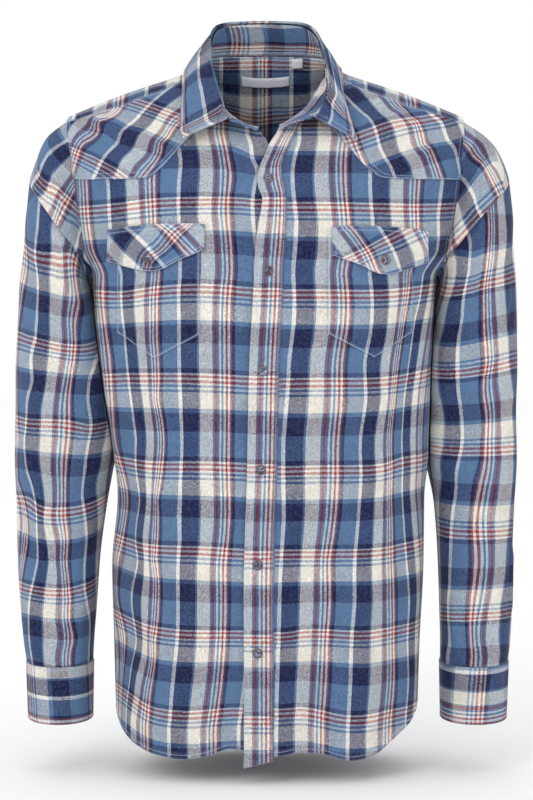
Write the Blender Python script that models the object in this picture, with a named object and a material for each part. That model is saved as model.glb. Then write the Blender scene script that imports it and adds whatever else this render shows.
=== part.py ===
"""Western snap shirt, filled out as it is worn, with nobody inside it.

Metres, +Z up. The front faces -Y, and +X is the wearer's left. The origin lies between the shoulders, in
the middle of the neck opening, where the wearer holds the shirt up.

The torso is one surface, torso(phi, z): phi goes round it in degrees, from 0 at the centre front over +90
at the wearer's left side to 180 at the centre back, and z is the height. Above the shoulder's tip the side
line phi = 90 runs along the shoulder's ridge to the neck. Each panel is a grid of points on that surface,
and what lies on a panel is a grid of the same surface, moved out. A panel's grid fills its four edges.
"""

import math

import bmesh
import bpy
import numpy as np

# Thicknesses and gaps
CLOTH = 0.0012  # one layer of brushed cotton, with its nap
DOUBLE = 0.0018  # collar, stand, cuffs: two layers and their interlining
SEAM = 0.0006  # between neighbouring pieces
SHOULDER_SEAM = 0.0009  # between the fronts and the back yoke
LIFT = 0.0012  # between a panel and the piece that lies on it
SIDE_GAP = 0.14  # half the side seam's gap, in degrees round the torso
ARMHOLE_INSET = 0.0010  # how far the panels stay inside the armhole
SLEEVE_SHIFT = 0.0007  # how far the sleeve starts outside it
LAYER = CLOTH + LIFT  # from one level of cloth to the next
STAND_OVER_NECK = 0.0020  # how far the collar stand's foot stays above the neckline
STAND_UNDER_FOLD = 0.0034  # how far the stand's top stays below the leaf's fold

# How round the torso's section is
SECTION_POWER = 2.6
SECTION_ROOT = 2.0
METRES_A_DEGREE = 0.0026  # round the torso, where folds are measured

# Heights and places that several pieces share
SHOULDER_TIP = -0.0450
ARMPIT = -0.1900
NECK_CORNER = 56.0  # degrees round the neckline at which the shoulder seam meets it

# Fineness of the grids
FRONT_COLUMNS, FRONT_ROWS = 15, 20
FRONT_NECK_COLUMNS = 6  # those of a front's columns that end at the neckline
BACK_COLUMNS, BACK_ROWS = 20, 15
YOKE_SEAM_COLUMNS, YOKE_NECK_COLUMNS, YOKE_ROWS = 8, 8, 11
SLEEVE_COLUMNS, SLEEVE_ROWS = 24, 25
BAND_COLUMNS, BAND_ROWS = 2, 26
POCKET_COLUMNS, POCKET_ROWS, FLAP_ROWS = 8, 7, 3
COLLAR_COLUMNS, STAND_ROWS = 34, 2
CUFF_COLUMNS, CUFF_ROWS = 27, 2
PLACKET_ROWS = 6

# Front band and its snaps
BAND_WIDTH = 0.031
BAND_RISE_AT_HEM, BAND_RISE_AT_NECK = 0.008, 0.006  # how much higher the seam's end is than the free edge's
BAND_CROWDING = 1.5  # how much closer its rows lie towards the neck, where the edge bends
SNAP_FROM_EDGE = 0.0145
SNAP_HEIGHTS = (-0.0884, -0.1835, -0.2862, -0.3883, -0.4877, -0.5802)
SNAP_RADIUS = 0.0054
SNAP_RISE = 0.0032
SNAP_SIDES = 10

# Cuffs
CUFF_TOP = -0.6025
CUFF_BOTTOM = -0.6645
CUFF_TILT = 0.05  # how much lower the front of a cuff hangs, for each metre of its depth
CUFF_LAP = 26.0  # degrees by which one end lies over the other
CUFF_EASE = 0.0012  # how far a cuff stands out from the sleeve's end
CUFF_LAP_AT = -48.0  # degrees round the wrist from its outer side; minus is towards the back
CUFF_SNAP_HEIGHTS = (-0.6200, -0.6520)

WEARERS_RIGHT, WEARERS_LEFT = -1, 1


def table(columns, *rows):
    """Named columns of numbers."""
    return dict(zip(columns.split(), np.array(rows, float).T))


# Half-widths and depths of the torso, from the hem up. From the shoulder's tip up, the half-width is that
# of the ridge, which goes on to a peak over the neck opening that no panel reaches.
TORSO = table(
    "z right left front back",
    (-0.730, 0.1590, 0.1640, 0.103, 0.108),
    (-0.640, 0.1608, 0.1655, 0.105, 0.108),
    (-0.580, 0.1622, 0.1672, 0.107, 0.106),
    (-0.500, 0.1642, 0.1710, 0.110, 0.102),
    (-0.425, 0.1580, 0.1718, 0.113, 0.098),
    (-0.380, 0.1622, 0.1765, 0.116, 0.099),
    (-0.300, 0.1745, 0.1787, 0.120, 0.104),
    (-0.240, 0.1817, 0.1812, 0.122, 0.110),
    (-0.190, 0.1845, 0.1840, 0.121, 0.114),
    (-0.160, 0.2020, 0.2050, 0.117, 0.115),
    (-0.120, 0.2140, 0.2190, 0.113, 0.115),
    (-0.080, 0.2190, 0.2240, 0.101, 0.112),
    (-0.045, 0.2210, 0.2240, 0.079, 0.104),
    (-0.0235, 0.2110, 0.2120, 0.059, 0.095),
    (-0.0125, 0.1880, 0.1890, 0.050, 0.090),
    (-0.0005, 0.1580, 0.1590, 0.042, 0.086),
    (0.0095, 0.1300, 0.1310, 0.034, 0.083),
    (0.0175, 0.1050, 0.1060, 0.028, 0.080),
    (0.0255, 0.0830, 0.0840, 0.022, 0.077),
    (0.0320, 0.0740, 0.0750, 0.018, 0.075),
    (0.0420, 0.0670, 0.0680, 0.016, 0.073),
    (0.0520, 0.0620, 0.0630, 0.014, 0.072),
    (0.0640, 0.0540, 0.0550, 0.012, 0.071),
    (0.0780, 0.0400, 0.0410, 0.010, 0.070),
    (0.0900, 0.0050, 0.0060, 0.008, 0.069),
)

# The armhole: where each height meets the sleeve, in degrees from the centre front (or the centre back)
ARMHOLE = table(
    "z phi",
    (-0.1900, 90.0),
    (-0.1860, 80.0),
    (-0.1750, 73.5),
    (-0.1500, 68.8),
    (-0.1100, 67.2),
    (-0.0750, 67.5),
    (-0.0475, 69.5),
    (-0.0325, 74.5),
    (-0.0260, 81.0),
    (-0.0235, 90.0),
)

# The neckline, from the centre front round to the centre back
NECKLINE = table(
    "phi z",
    (0.0, -0.0345),
    (4.0, -0.0325),
    (9.8, -0.0205),
    (20.4, 0.0020),
    (32.0, 0.0150),
    (56.0, 0.0262),
    (72.0, 0.0335),
    (90.0, 0.0385),
    (125.0, 0.0462),
    (150.0, 0.0495),
    (180.0, 0.0502),
)

# The seam between the back yoke and the front, set forward of the ridge; reach goes from neck to armhole
FORWARD_SEAM = table(
    "reach x z",
    (0.00, 0.0690, 0.0262),
    (0.28, 0.1070, 0.0060),
    (0.46, 0.1320, -0.0025),
    (0.60, 0.1510, -0.0110),
    (0.70, 0.1650, -0.0145),
    (0.83, 0.1820, -0.0200),
    (1.00, 0.2065, -0.0275),
)

# The tails: height of the hem round the body, in the waves that it hangs in
HEM = table(
    "phi z",
    (-180.0, -0.6990),
    (-150.0, -0.6965),
    (-122.0, -0.6790),
    (-104.0, -0.6570),
    (-90.0, -0.6500),
    (-78.0, -0.6650),
    (-60.0, -0.6835),
    (-43.0, -0.6920),
    (-33.0, -0.6945),
    (-22.0, -0.6905),
    (-13.0, -0.6830),
    (-4.0, -0.6860),
    (4.0, -0.6900),
    (13.0, -0.6865),
    (22.0, -0.6885),
    (33.0, -0.6955),
    (43.0, -0.6920),
    (56.0, -0.6790),
    (70.0, -0.6660),
    (90.0, -0.6480),
    (104.0, -0.6560),
    (122.0, -0.6780),
    (150.0, -0.6965),
    (180.0, -0.6990),
)

# The band's free edge, which sways as the snapped front hangs
BAND_EDGE = table(
    "z x",
    (-0.7020, -0.0215),
    (-0.5200, -0.0215),
    (-0.3900, -0.0180),
    (-0.2850, -0.0158),
    (-0.2000, -0.0127),
    (-0.1400, -0.0086),
    (-0.1100, -0.0030),
    (-0.0850, -0.0065),
    (-0.0660, 0.0006),
    (-0.0500, 0.0080),
    (-0.0345, 0.0152),
)

# The other front's edge, which shows in the open neck and then runs under the band
UNDER_EDGE = table(
    "z x",
    (-0.6860, 0.0085),
    (-0.3000, 0.0130),
    (-0.1400, 0.0180),
    (-0.0900, 0.0160),
    (-0.0600, 0.0080),
    (-0.0480, 0.0030),
    (-0.0345, -0.0060),
)

# Soft folds of the torso: a line on the surface, how far it stands out (minus: sinks in), and half its width
TORSO_FOLDS = table(
    "phi_from z_from phi_to z_to height spread",
    (-64, -0.150, -69, -0.350, 0.0050, 0.024),
    (65, -0.160, 69, -0.360, 0.0050, 0.024),
    (-66, -0.400, -62, -0.660, -0.0045, 0.028),
    (-46, -0.430, -44, -0.710, 0.0045, 0.030),
    (-17, -0.540, -16, -0.720, -0.0050, 0.028),
    (15, -0.590, 16, -0.720, -0.0045, 0.028),
    (36, -0.500, 37, -0.720, 0.0055, 0.030),
    (60, -0.410, 57, -0.680, -0.0045, 0.028),
    (112, -0.210, 132, -0.400, -0.0060, 0.030),
    (-112, -0.210, -132, -0.400, -0.0060, 0.030),
    (147, -0.330, 143, -0.700, 0.0070, 0.034),
    (-147, -0.330, -143, -0.700, 0.0070, 0.034),
    (176, -0.360, 172, -0.700, -0.0060, 0.032),
    (118, -0.420, 114, -0.660, 0.0055, 0.030),
    (-118, -0.420, -114, -0.660, 0.0055, 0.030),
)

# The sleeves, ring by ring: the outer and inner points as seen from the front, and the depth about them
SLEEVE_RIGHT = table(
    "outer_x outer_z inner_x inner_z middle_y half_depth",
    (0.2325, -0.0420, 0.1880, -0.1955, 0.002, 0.0610),
    (0.2430, -0.0640, 0.1875, -0.2000, 0.005, 0.0660),
    (0.2515, -0.0920, 0.1860, -0.2060, 0.008, 0.0700),
    (0.2535, -0.1180, 0.1840, -0.2140, 0.010, 0.0690),
    (0.2575, -0.1550, 0.1800, -0.2280, 0.012, 0.0690),
    (0.2630, -0.1950, 0.1740, -0.2480, 0.014, 0.0680),
    (0.2655, -0.2400, 0.1660, -0.2780, 0.016, 0.0660),
    (0.2685, -0.2900, 0.1590, -0.3120, 0.018, 0.0625),
    (0.2690, -0.3350, 0.1560, -0.3480, 0.019, 0.0580),
    (0.2700, -0.3850, 0.1620, -0.3880, 0.018, 0.0540),
    (0.2680, -0.4350, 0.1705, -0.4360, 0.014, 0.0520),
    (0.2665, -0.4900, 0.1775, -0.4900, 0.008, 0.0500),
    (0.2630, -0.5450, 0.1812, -0.5450, 0.002, 0.0480),
    (0.2590, -0.5850, 0.1842, -0.5850, -0.002, 0.0460),
    (0.2562, -0.6025, 0.1850, -0.6025, -0.003, 0.0435),
)
SLEEVE_LEFT = table(
    "outer_x outer_z inner_x inner_z middle_y half_depth",
    (0.2350, -0.0400, 0.1880, -0.1955, 0.002, 0.0610),
    (0.2510, -0.0590, 0.1875, -0.2000, 0.005, 0.0660),
    (0.2615, -0.0880, 0.1860, -0.2060, 0.008, 0.0700),
    (0.2645, -0.1180, 0.1845, -0.2140, 0.010, 0.0690),
    (0.2665, -0.1550, 0.1810, -0.2280, 0.012, 0.0690),
    (0.2705, -0.1950, 0.1770, -0.2480, 0.014, 0.0680),
    (0.2720, -0.2400, 0.1720, -0.2780, 0.016, 0.0660),
    (0.2728, -0.2900, 0.1680, -0.3120, 0.018, 0.0625),
    (0.2718, -0.3350, 0.1670, -0.3480, 0.019, 0.0580),
    (0.2728, -0.3850, 0.1740, -0.3880, 0.018, 0.0540),
    (0.2700, -0.4350, 0.1835, -0.4360, 0.014, 0.0520),
    (0.2675, -0.4900, 0.1872, -0.4900, 0.008, 0.0500),
    (0.2668, -0.5450, 0.1888, -0.5450, 0.002, 0.0480),
    (0.2645, -0.5850, 0.1897, -0.5850, -0.002, 0.0460),
    (0.2625, -0.6025, 0.1895, -0.6025, -0.003, 0.0435),
)
SLEEVES = {WEARERS_RIGHT: SLEEVE_RIGHT, WEARERS_LEFT: SLEEVE_LEFT}

# Folds of the sleeves: turn is degrees round the arm from its outer side (minus: towards the back), drop is
# the share of the way down, height and spread as on the torso
SLEEVE_FOLDS = table(
    "turn_from drop_from turn_to drop_to height spread",
    (10, 0.140, 140, 0.215, 0.0065, 0.018),
    (15, 0.205, 145, 0.285, -0.0060, 0.018),
    (-10, 0.150, -140, 0.230, 0.0045, 0.020),
    (30, 0.420, 120, 0.500, 0.0035, 0.020),
    (150, 0.560, 70, 0.600, 0.0050, 0.017),
    (155, 0.615, 75, 0.665, -0.0045, 0.017),
    (-60, 0.560, -140, 0.640, 0.0050, 0.020),
    (-75, 0.640, -150, 0.700, -0.0045, 0.018),
    (25, 0.640, 55, 0.790, -0.0035, 0.017),
    (78, 0.850, 82, 0.960, -0.0035, 0.016),
    (130, 0.850, 126, 0.960, 0.0035, 0.016),
    (-110, 0.850, -114, 0.960, 0.0040, 0.017),
)

SLEEVE_CLEARANCE = 0.0040  # how far the sleeves keep off the body, below the armpit

# The collar's fold line, end to end by way of the back: the top of the stand
FOLD_LINE = table(
    "phi x y z",
    (-1.5, -0.0080, -0.0870, -0.0340),
    (-6.0, -0.0230, -0.0885, -0.0275),
    (-10.5, -0.0370, -0.0840, -0.0225),
    (-19.0, -0.0425, -0.0670, -0.0050),
    (-33.0, -0.0490, -0.0440, 0.0170),
    (-60.0, -0.0550, -0.0180, 0.0410),
    (-90.0, -0.0560, 0.0100, 0.0590),
    (-125.0, -0.0500, 0.0410, 0.0785),
    (-150.0, -0.0300, 0.0570, 0.0855),
    (180.0, 0.0000, 0.0610, 0.0870),
    (150.0, 0.0300, 0.0570, 0.0855),
    (125.0, 0.0490, 0.0410, 0.0775),
    (90.0, 0.0585, 0.0100, 0.0590),
    (54.0, 0.0635, -0.0180, 0.0370),
    (26.0, 0.0650, -0.0430, 0.0130),
    (15.5, 0.0610, -0.0660, -0.0050),
    (11.0, 0.0490, -0.0820, -0.0205),
    (7.8, 0.0330, -0.0870, -0.0250),
    (4.0, 0.0155, -0.0885, -0.0320),
)

# The collar's outer edge: place along the leaf from one point to the other
LEAF_EDGE = table(
    "place x y z",
    (0.00, -0.0830, -0.0970, -0.0460),
    (0.08, -0.0866, -0.0790, -0.0310),
    (0.20, -0.0862, -0.0460, -0.0010),
    (0.31, -0.0845, -0.0060, 0.0290),
    (0.38, -0.0750, 0.0350, 0.0400),
    (0.44, -0.0440, 0.0760, 0.0440),
    (0.50, 0.0000, 0.0890, 0.0440),
    (0.56, 0.0440, 0.0760, 0.0440),
    (0.62, 0.0740, 0.0350, 0.0400),
    (0.69, 0.0800, -0.0060, 0.0290),
    (0.80, 0.0830, -0.0460, 0.0000),
    (0.92, 0.0888, -0.0790, -0.0260),
    (1.00, 0.0950, -0.0970, -0.0490),
)
LEAF_STARTS, LEAF_ENDS = 2, 16  # the fold line's rows where the leaf's ends are set
LEAF_SECTION = table(
    "way out rise",  # share of the way from the fold to the edge, then metres outward and up
    (0.00, 0.0006, 0.0000),
    (0.00, 0.0030, 0.0014),
    (0.12, 0.0028, 0.0000),
    (0.36, 0.0030, 0.0000),
    (0.68, 0.0026, 0.0000),
    (1.00, 0.0000, 0.0000),
)
LEAF_ROWS_ON_BODY = 3  # the outer rows, which keep off the cloth that they lie on

# Front yoke's lower edge, from the armhole in to the neckline, as seen from the front
YOKE_EDGE = table(
    "reach x z",
    (0.00, 0.2010, -0.0880),
    (0.40, 0.1600, -0.0885),
    (0.60, 0.1225, -0.0880),
    (0.70, 0.1070, -0.0780),
    (0.85, 0.0810, -0.0480),
    (1.00, 0.0480, -0.0150),
)

# Back yoke's lower edge, from the armhole in to the point at the centre back
BACK_YOKE_EDGE = table(
    "reach x z",
    (0.00, 0.1990, -0.0980),
    (0.40, 0.1250, -0.0955),
    (0.65, 0.0750, -0.0990),
    (0.85, 0.0320, -0.1160),
    (1.00, 0.0000, -0.1400),
)
YOKE_OVERLAP = 0.014  # how far the back reaches up under the yoke

# Pocket flaps and pockets, as seen from the front: along runs from the centre side to the armhole side
FLAP = table(
    "along right_x right_top right_bottom left_x left_top left_bottom",
    (0.00, 0.0610, -0.1355, -0.1620, 0.0690, -0.1385, -0.1680),
    (0.25, 0.0850, -0.1345, -0.1720, 0.0940, -0.1370, -0.1760),
    (0.50, 0.1130, -0.1355, -0.1840, 0.1220, -0.1375, -0.1870),
    (0.75, 0.1390, -0.1375, -0.1790, 0.1460, -0.1390, -0.1810),
    (1.00, 0.1620, -0.1405, -0.1720, 0.1690, -0.1425, -0.1720),
)
POCKET = table(
    "along right_x right_top right_bottom left_x left_top left_bottom",
    (0.00, 0.0665, -0.1440, -0.2490, 0.0650, -0.1460, -0.2480),
    (0.25, 0.0890, -0.1440, -0.2610, 0.0880, -0.1460, -0.2600),
    (0.50, 0.1130, -0.1440, -0.2740, 0.1130, -0.1460, -0.2730),
    (0.75, 0.1330, -0.1440, -0.2610, 0.1330, -0.1460, -0.2610),
    (1.00, 0.1520, -0.1450, -0.2480, 0.1530, -0.1470, -0.2480),
)
FLAP_SNAPS = {WEARERS_RIGHT: (0.1180, -0.1700), WEARERS_LEFT: (0.1230, -0.1715)}
FLAP_PUFF = 0.0022  # how far the middle of a flap's lower edge stands out

# Labels inside the back of the neck: centre, half-size
MAIN_LABEL = {"x": 0.0010, "z": 0.0235, "half_width": 0.0262, "half_height": 0.0050}
SIZE_LABEL = {"x": 0.0358, "z": 0.0420, "half_width": 0.0056, "half_height": 0.0052}
LABEL_CLOTH = 0.0008

# Sleeve plackets: the slit's cover on the back of the forearm
SLEEVE_PLACKET = {"turn": -62.0, "half_width": 0.0120, "from_drop": 0.77, "to_drop": 0.985, "end_share": 0.25}

MATERIALS = {
    "plaid": ((0.20, 0.28, 0.42, 1.0), 0.85, 0.0),
    "label": ((0.82, 0.82, 0.84, 1.0), 0.70, 0.0),
    "snap": ((0.20, 0.22, 0.30, 1.0), 0.30, 0.6),
}


# ---------------------------------------------------------------- numbers along tables


def along(knots, values, at):
    """A smooth curve through the values at the knots, which never swings past them."""
    at = np.clip(at, knots[0], knots[-1])
    step = np.diff(knots)
    rise = np.diff(values) / step
    slope = np.concatenate([rise[:1], np.zeros(len(rise) - 1), rise[-1:]])
    turning = rise[:-1] * rise[1:] > 0
    pair = np.where(turning, rise[:-1] + rise[1:], 1.0)
    slope[1:-1] = np.where(turning, 2.0 * rise[:-1] * rise[1:] / pair, 0.0)
    i = np.clip(np.searchsorted(knots, at) - 1, 0, len(step) - 1)
    t = (at - knots[i]) / step[i]
    return (
        values[i] * (1 + 2 * t) * (1 - t) ** 2
        + slope[i] * step[i] * t * (1 - t) ** 2
        + values[i + 1] * t * t * (3 - 2 * t)
        + slope[i + 1] * step[i] * t * t * (t - 1)
    )


def look(rows, key, column, at):
    return along(rows[key], rows[column], np.asarray(at, float))


def pairs(first, second):
    return np.stack(np.broadcast_arrays(np.asarray(first, float), np.asarray(second, float)), -1)


def soft_step(value):
    value = np.clip(value, 0.0, 1.0)
    return value * value * (3 - 2 * value)


def unit(vector):
    return vector / np.maximum(np.linalg.norm(vector, axis=-1, keepdims=True), 1e-12)


def running_length(points):
    steps = np.linalg.norm(np.diff(points, axis=0), axis=1)
    return np.concatenate([[0], np.cumsum(steps)])


def even(points, count, place):
    """The same line with its points spread evenly along the surface that place() puts them on."""
    run = running_length(place(points))
    at = np.linspace(0, run[-1], count)
    return pairs(np.interp(at, run, points[:, 0]), np.interp(at, run, points[:, 1]))


def patch(bottom, top, left, right):
    """Fills four edges with a grid of points: rows go up, and columns go from left to right."""
    v = np.linspace(0, 1, len(left))[:, None, None]
    u = np.linspace(0, 1, len(bottom))[None, :, None]
    bottom, top, left, right = bottom[None], top[None], left[:, None], right[:, None]
    low = (1 - u) * bottom[:, :1] + u * bottom[:, -1:]
    high = (1 - u) * top[:, :1] + u * top[:, -1:]
    return (1 - v) * (bottom - low) + v * (top - high) + (1 - u) * left + u * right


def fold_height(across, down, folds, metres_across, metres_down=1.0):
    """The folds' height at each point: full on a fold's line, and nothing from its spread and its ends on."""
    total = np.zeros(np.broadcast(across, down).shape)
    for from_a, from_d, to_a, to_d, height, spread in zip(*folds.values()):
        way_a, way_d = (to_a - from_a) * metres_across, (to_d - from_d) * metres_down
        gap_a, gap_d = (across - from_a) * metres_across, (down - from_d) * metres_down
        place = (gap_a * way_a + gap_d * way_d) / (way_a**2 + way_d**2)
        held = np.clip(place, 0, 1)
        distance = np.hypot(gap_a - held * way_a, gap_d - held * way_d) / spread
        ends = soft_step(place * 4 + 0.35) * soft_step((1 - place) * 4 + 0.35)
        total += height * np.exp(-1.2 * distance**2) * ends
    return total


# ---------------------------------------------------------------- the torso's surface


def half_width(z, x):
    """Half-width at height z, on the side that x lies on."""
    return np.where(np.asarray(x) < 0, look(TORSO, "z", "right", z), look(TORSO, "z", "left", z))


def depth(z, y):
    return np.where(np.asarray(y) < 0, look(TORSO, "z", "front", z), look(TORSO, "z", "back", z))


def smooth_torso(phi, z):
    phi, z = np.broadcast_arrays(np.asarray(phi, float), np.asarray(z, float))
    across, facing = np.sin(np.radians(phi)), -np.sign(np.cos(np.radians(phi)))
    inside = np.clip(1 - np.abs(across) ** SECTION_POWER, 0, 1) ** (1 / SECTION_ROOT)
    return np.stack([half_width(z, across) * across, facing * depth(z, facing) * inside, z], -1)


def on_torso(points):
    return smooth_torso(points[..., 0], points[..., 1])


def torso_normal(phi, z):
    turn, rise = 0.4, 0.0015
    around = smooth_torso(phi + turn, z) - smooth_torso(phi - turn, z)
    up = smooth_torso(phi, z + rise) - smooth_torso(phi, z - rise)
    return unit(np.cross(around, up))


def torso_folds(phi, z):
    wrapped = (np.asarray(phi, float) + 180.0) % 360.0 - 180.0
    return fold_height(wrapped, z, TORSO_FOLDS, METRES_A_DEGREE)


def torso(phi, z, out=0.0):
    """Points on the cloth, moved out along its normal."""
    phi, z = np.broadcast_arrays(np.asarray(phi, float), np.asarray(z, float))
    return smooth_torso(phi, z) + torso_normal(phi, z) * (torso_folds(phi, z) + out)[..., None]


def front_phi(x, z):
    share = np.asarray(x) / half_width(z, x)
    return np.degrees(np.arcsin(np.clip(share, -1, 1)))


def hem_z(phi):
    return look(HEM, "phi", "z", phi)


def neck_z(phi):
    return look(NECKLINE, "phi", "z", phi)


def armhole_phi(z):
    return look(ARMHOLE, "z", "phi", z)


def keep_off(points, gap):
    """Moves points that are nearer to the torso than the gap straight out to it."""
    def level(p):
        x, y, z = p[..., 0], p[..., 1], p[..., 2]
        across, deep = np.abs(x) / half_width(z, x), np.abs(y) / depth(z, y)
        return across**SECTION_POWER + deep**SECTION_ROOT - 1

    nudge = 0.0002 * np.eye(3)
    points = points.copy()
    for _ in range(8):
        x, y, z = points[..., 0], points[..., 1], points[..., 2]
        phi = np.degrees(np.arctan2(x / half_width(z, x), -y / depth(z, y)))
        slope = np.stack([level(points + n) - level(points - n) for n in nudge], -1) / 0.0004
        steep = np.linalg.norm(slope, axis=-1)
        short = np.maximum(gap + torso_folds(phi, z) - level(points) / steep, 0.0)
        points += slope / steep[..., None] * short[..., None]
    return points


# ---------------------------------------------------------------- objects


def clear_scene():
    for thing in list(bpy.data.objects):
        bpy.data.objects.remove(thing, do_unlink=True)


def material(name):
    found = bpy.data.materials.get(name)
    if found:
        return found
    colour, roughness, metallic = MATERIALS[name]
    made = bpy.data.materials.new(name)
    made.use_nodes = True
    shader = made.node_tree.nodes["Principled BSDF"]
    shader.inputs["Base Color"].default_value = colour
    shader.inputs["Roughness"].default_value = roughness
    shader.inputs["Metallic"].default_value = metallic
    made.diffuse_color = colour
    return made


def add_object(name, mesh, finish):
    mesh.materials.append(material(finish))
    made = bpy.data.objects.new(name, mesh)
    bpy.context.scene.collection.objects.link(made)
    return made


def wall(name, grid, thickness, finish="plaid", closed=False, flip=False, outwards=False):
    """A wall of cloth from a grid: rows of points, each row a ring if closed.

    The grid is the wall's outer face, or its inner face if the thickness goes outwards. Each cell is split
    along its shorter diagonal.
    """
    rows, columns = grid.shape[:2]
    points = grid.reshape(-1, 3)
    faces = []
    for r in range(rows - 1):
        for c in range(columns if closed else columns - 1):
            d = (c + 1) % columns
            cell = [r * columns + c, r * columns + d, (r + 1) * columns + d, (r + 1) * columns + c]
            one_way, other_way = points[cell[2]] - points[cell[0]], points[cell[3]] - points[cell[1]]
            if np.linalg.norm(other_way) < np.linalg.norm(one_way) * 0.98:
                cell = cell[1:] + cell[:1]
            pair = [(cell[0], cell[1], cell[2]), (cell[0], cell[2], cell[3])]
            faces += [corners[::-1] for corners in pair] if flip else pair
    mesh = bpy.data.meshes.new(name)
    mesh.from_pydata(points.tolist(), [], faces)
    mesh.shade_smooth()
    made = add_object(name, mesh, finish)
    solidify = made.modifiers.new("wall", "SOLIDIFY")
    solidify.thickness = thickness
    solidify.offset = 1.0 if outwards else -1.0
    return made


def snap(name, point, normal):
    """A snap's cap, turned about the normal: a rim and a low dome."""
    profile = [
        (0.0, 0.0),
        (SNAP_RADIUS, 0.0),
        (SNAP_RADIUS, SNAP_RISE * 0.5),
        (SNAP_RADIUS * 0.75, SNAP_RISE * 0.8),
        (0.0, SNAP_RISE),
    ]
    forward = unit(normal)
    right = unit(np.cross([0.0, 0.0, 1.0], forward))
    up = np.cross(forward, right)
    work = bmesh.new()
    corners = []
    for radius, rise in profile:
        corners.append(work.verts.new(point + forward * rise + right * radius))
    edges = [work.edges.new(pair) for pair in zip(corners, corners[1:])]
    bmesh.ops.spin(
        work,
        geom=corners + edges,
        cent=point,
        axis=forward,
        angle=2 * math.pi,
        steps=SNAP_SIDES,
        use_merge=True,
    )
    bmesh.ops.remove_doubles(work, verts=work.verts, dist=1e-6)
    bmesh.ops.recalc_face_normals(work, faces=work.faces)
    mesh = bpy.data.meshes.new(name)
    work.to_mesh(mesh)
    work.free()
    return add_object(name, mesh, "snap")


# ---------------------------------------------------------------- the fronts


def wide(z, side):
    """The half-width that a front's grid is measured by: it doesn't narrow over the shoulder."""
    return half_width(np.minimum(z, SHOULDER_TIP), side)


def front_place(side):
    """Puts a front's grid points, (angle, z), on the torso: x is the angle's share of the full width."""
    def place(points):
        angle, z = points[..., 0], points[..., 1]
        x = side * wide(z, side) * np.sin(np.radians(angle))
        return smooth_torso(front_phi(x, z), z)

    return place


def to_angle(x, z, side):
    """The grid angle of a point seen from the front at x, counted from the centre out to the side."""
    share = side * np.asarray(x) / wide(z, side)
    return np.degrees(np.arcsin(np.clip(share, -1, 1)))


def from_angle(grid, side):
    angle, z = grid[..., 0], grid[..., 1]
    return front_phi(side * wide(z, side) * np.sin(np.radians(angle)), z), z


def armhole_x(z, side):
    """How far out the armhole's front edge lies, less the inset."""
    reach = np.abs(smooth_torso(side * armhole_phi(z), z)[..., 0])
    inset = ARMHOLE_INSET * soft_step((z - ARMPIT) / 0.012)
    return reach - inset


def front_outer_edge(side, top, count):
    """Up the side seam, then up the front of the armhole."""
    below = np.linspace(hem_z(90.0 * side), ARMPIT, 40)
    above = np.linspace(ARMPIT, top, 60)[1:]
    angles = [np.full(40, 90.0 - SIDE_GAP), to_angle(side * armhole_x(above, side), above, side)]
    return even(pairs(np.concatenate(angles), np.concatenate([below, above])), count, front_place(side))


def seam_line(side):
    """The forward shoulder seam, from the neck to the armhole, less its gap along the cloth."""
    reach = np.linspace(0, 1, 60)
    x, z = (look(FORWARD_SEAM, "reach", name, reach) for name in ("x", "z"))
    points = pairs(to_angle(side * np.minimum(x, armhole_x(z, side)), z, side), z)
    place, drop = front_place(side), 0.0001
    stretch = np.linalg.norm(place(points - [0, drop]) - place(points), axis=1) / drop
    return points - pairs(0.0, SHOULDER_SEAM / stretch)


def front_panel(side):
    """One front, from its edge at the centre to the side seam and the armhole, as (phi, z)."""
    place = front_place(side)
    rows_of = BAND_EDGE if side == WEARERS_LEFT else UNDER_EDGE
    edge_z = np.linspace(rows_of["z"][0], rows_of["z"][-1], 60)
    edge = pairs(to_angle(look(rows_of, "z", "x", edge_z), edge_z, side), edge_z)
    centre = even(edge, FRONT_ROWS + 1, place)
    shoulder = seam_line(side)
    outer = front_outer_edge(side, shoulder[-1, 1], FRONT_ROWS + 1)
    angle = np.linspace(centre[0, 0], outer[0, 0], FRONT_COLUMNS + 1)
    hem = hem_z(front_phi(side * wide(-0.69, side) * np.sin(np.radians(angle)), -0.69))
    hem[0], hem[-1] = centre[0, 1], outer[0, 1]
    shoulder[-1] = outer[-1]
    x = np.linspace(smooth_torso(*from_angle(centre[-1], side))[0] * side, FORWARD_SEAM["x"][0], 40)
    neck_phi = neckline_phi(x)
    neck = pairs(to_angle(side * x, neck_z(neck_phi) - SEAM, side), neck_z(neck_phi) - SEAM)
    neck[0], neck[-1] = centre[-1], shoulder[0]
    top = np.concatenate(
        [
            even(neck, FRONT_NECK_COLUMNS + 1, place),
            even(shoulder, FRONT_COLUMNS - FRONT_NECK_COLUMNS + 1, place)[1:],
        ]
    )
    return from_angle(patch(pairs(angle, hem), top, centre, outer), side)


def neckline_phi(x):
    """Where round the neckline a point seen at x from the front lies."""
    phi = np.linspace(0, NECK_CORNER, 200)
    reach = smooth_torso(phi, neck_z(phi))[:, 0]
    return np.interp(np.abs(x), reach, phi)


def under_band(phi, z):
    """How far the wearer's right front drops behind the other one near the centre."""
    x = smooth_torso(phi, z)[..., 0]
    return -(LAYER + LIFT) * soft_step((x + 0.066) / 0.052)


def build_fronts():
    for side, name in ((WEARERS_RIGHT, "front_right"), (WEARERS_LEFT, "front_left")):
        phi, z = front_panel(side)
        out = under_band(phi, z) if side == WEARERS_RIGHT else 0.0
        wall(name, torso(phi, z, out), CLOTH, flip=side == WEARERS_RIGHT)


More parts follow.
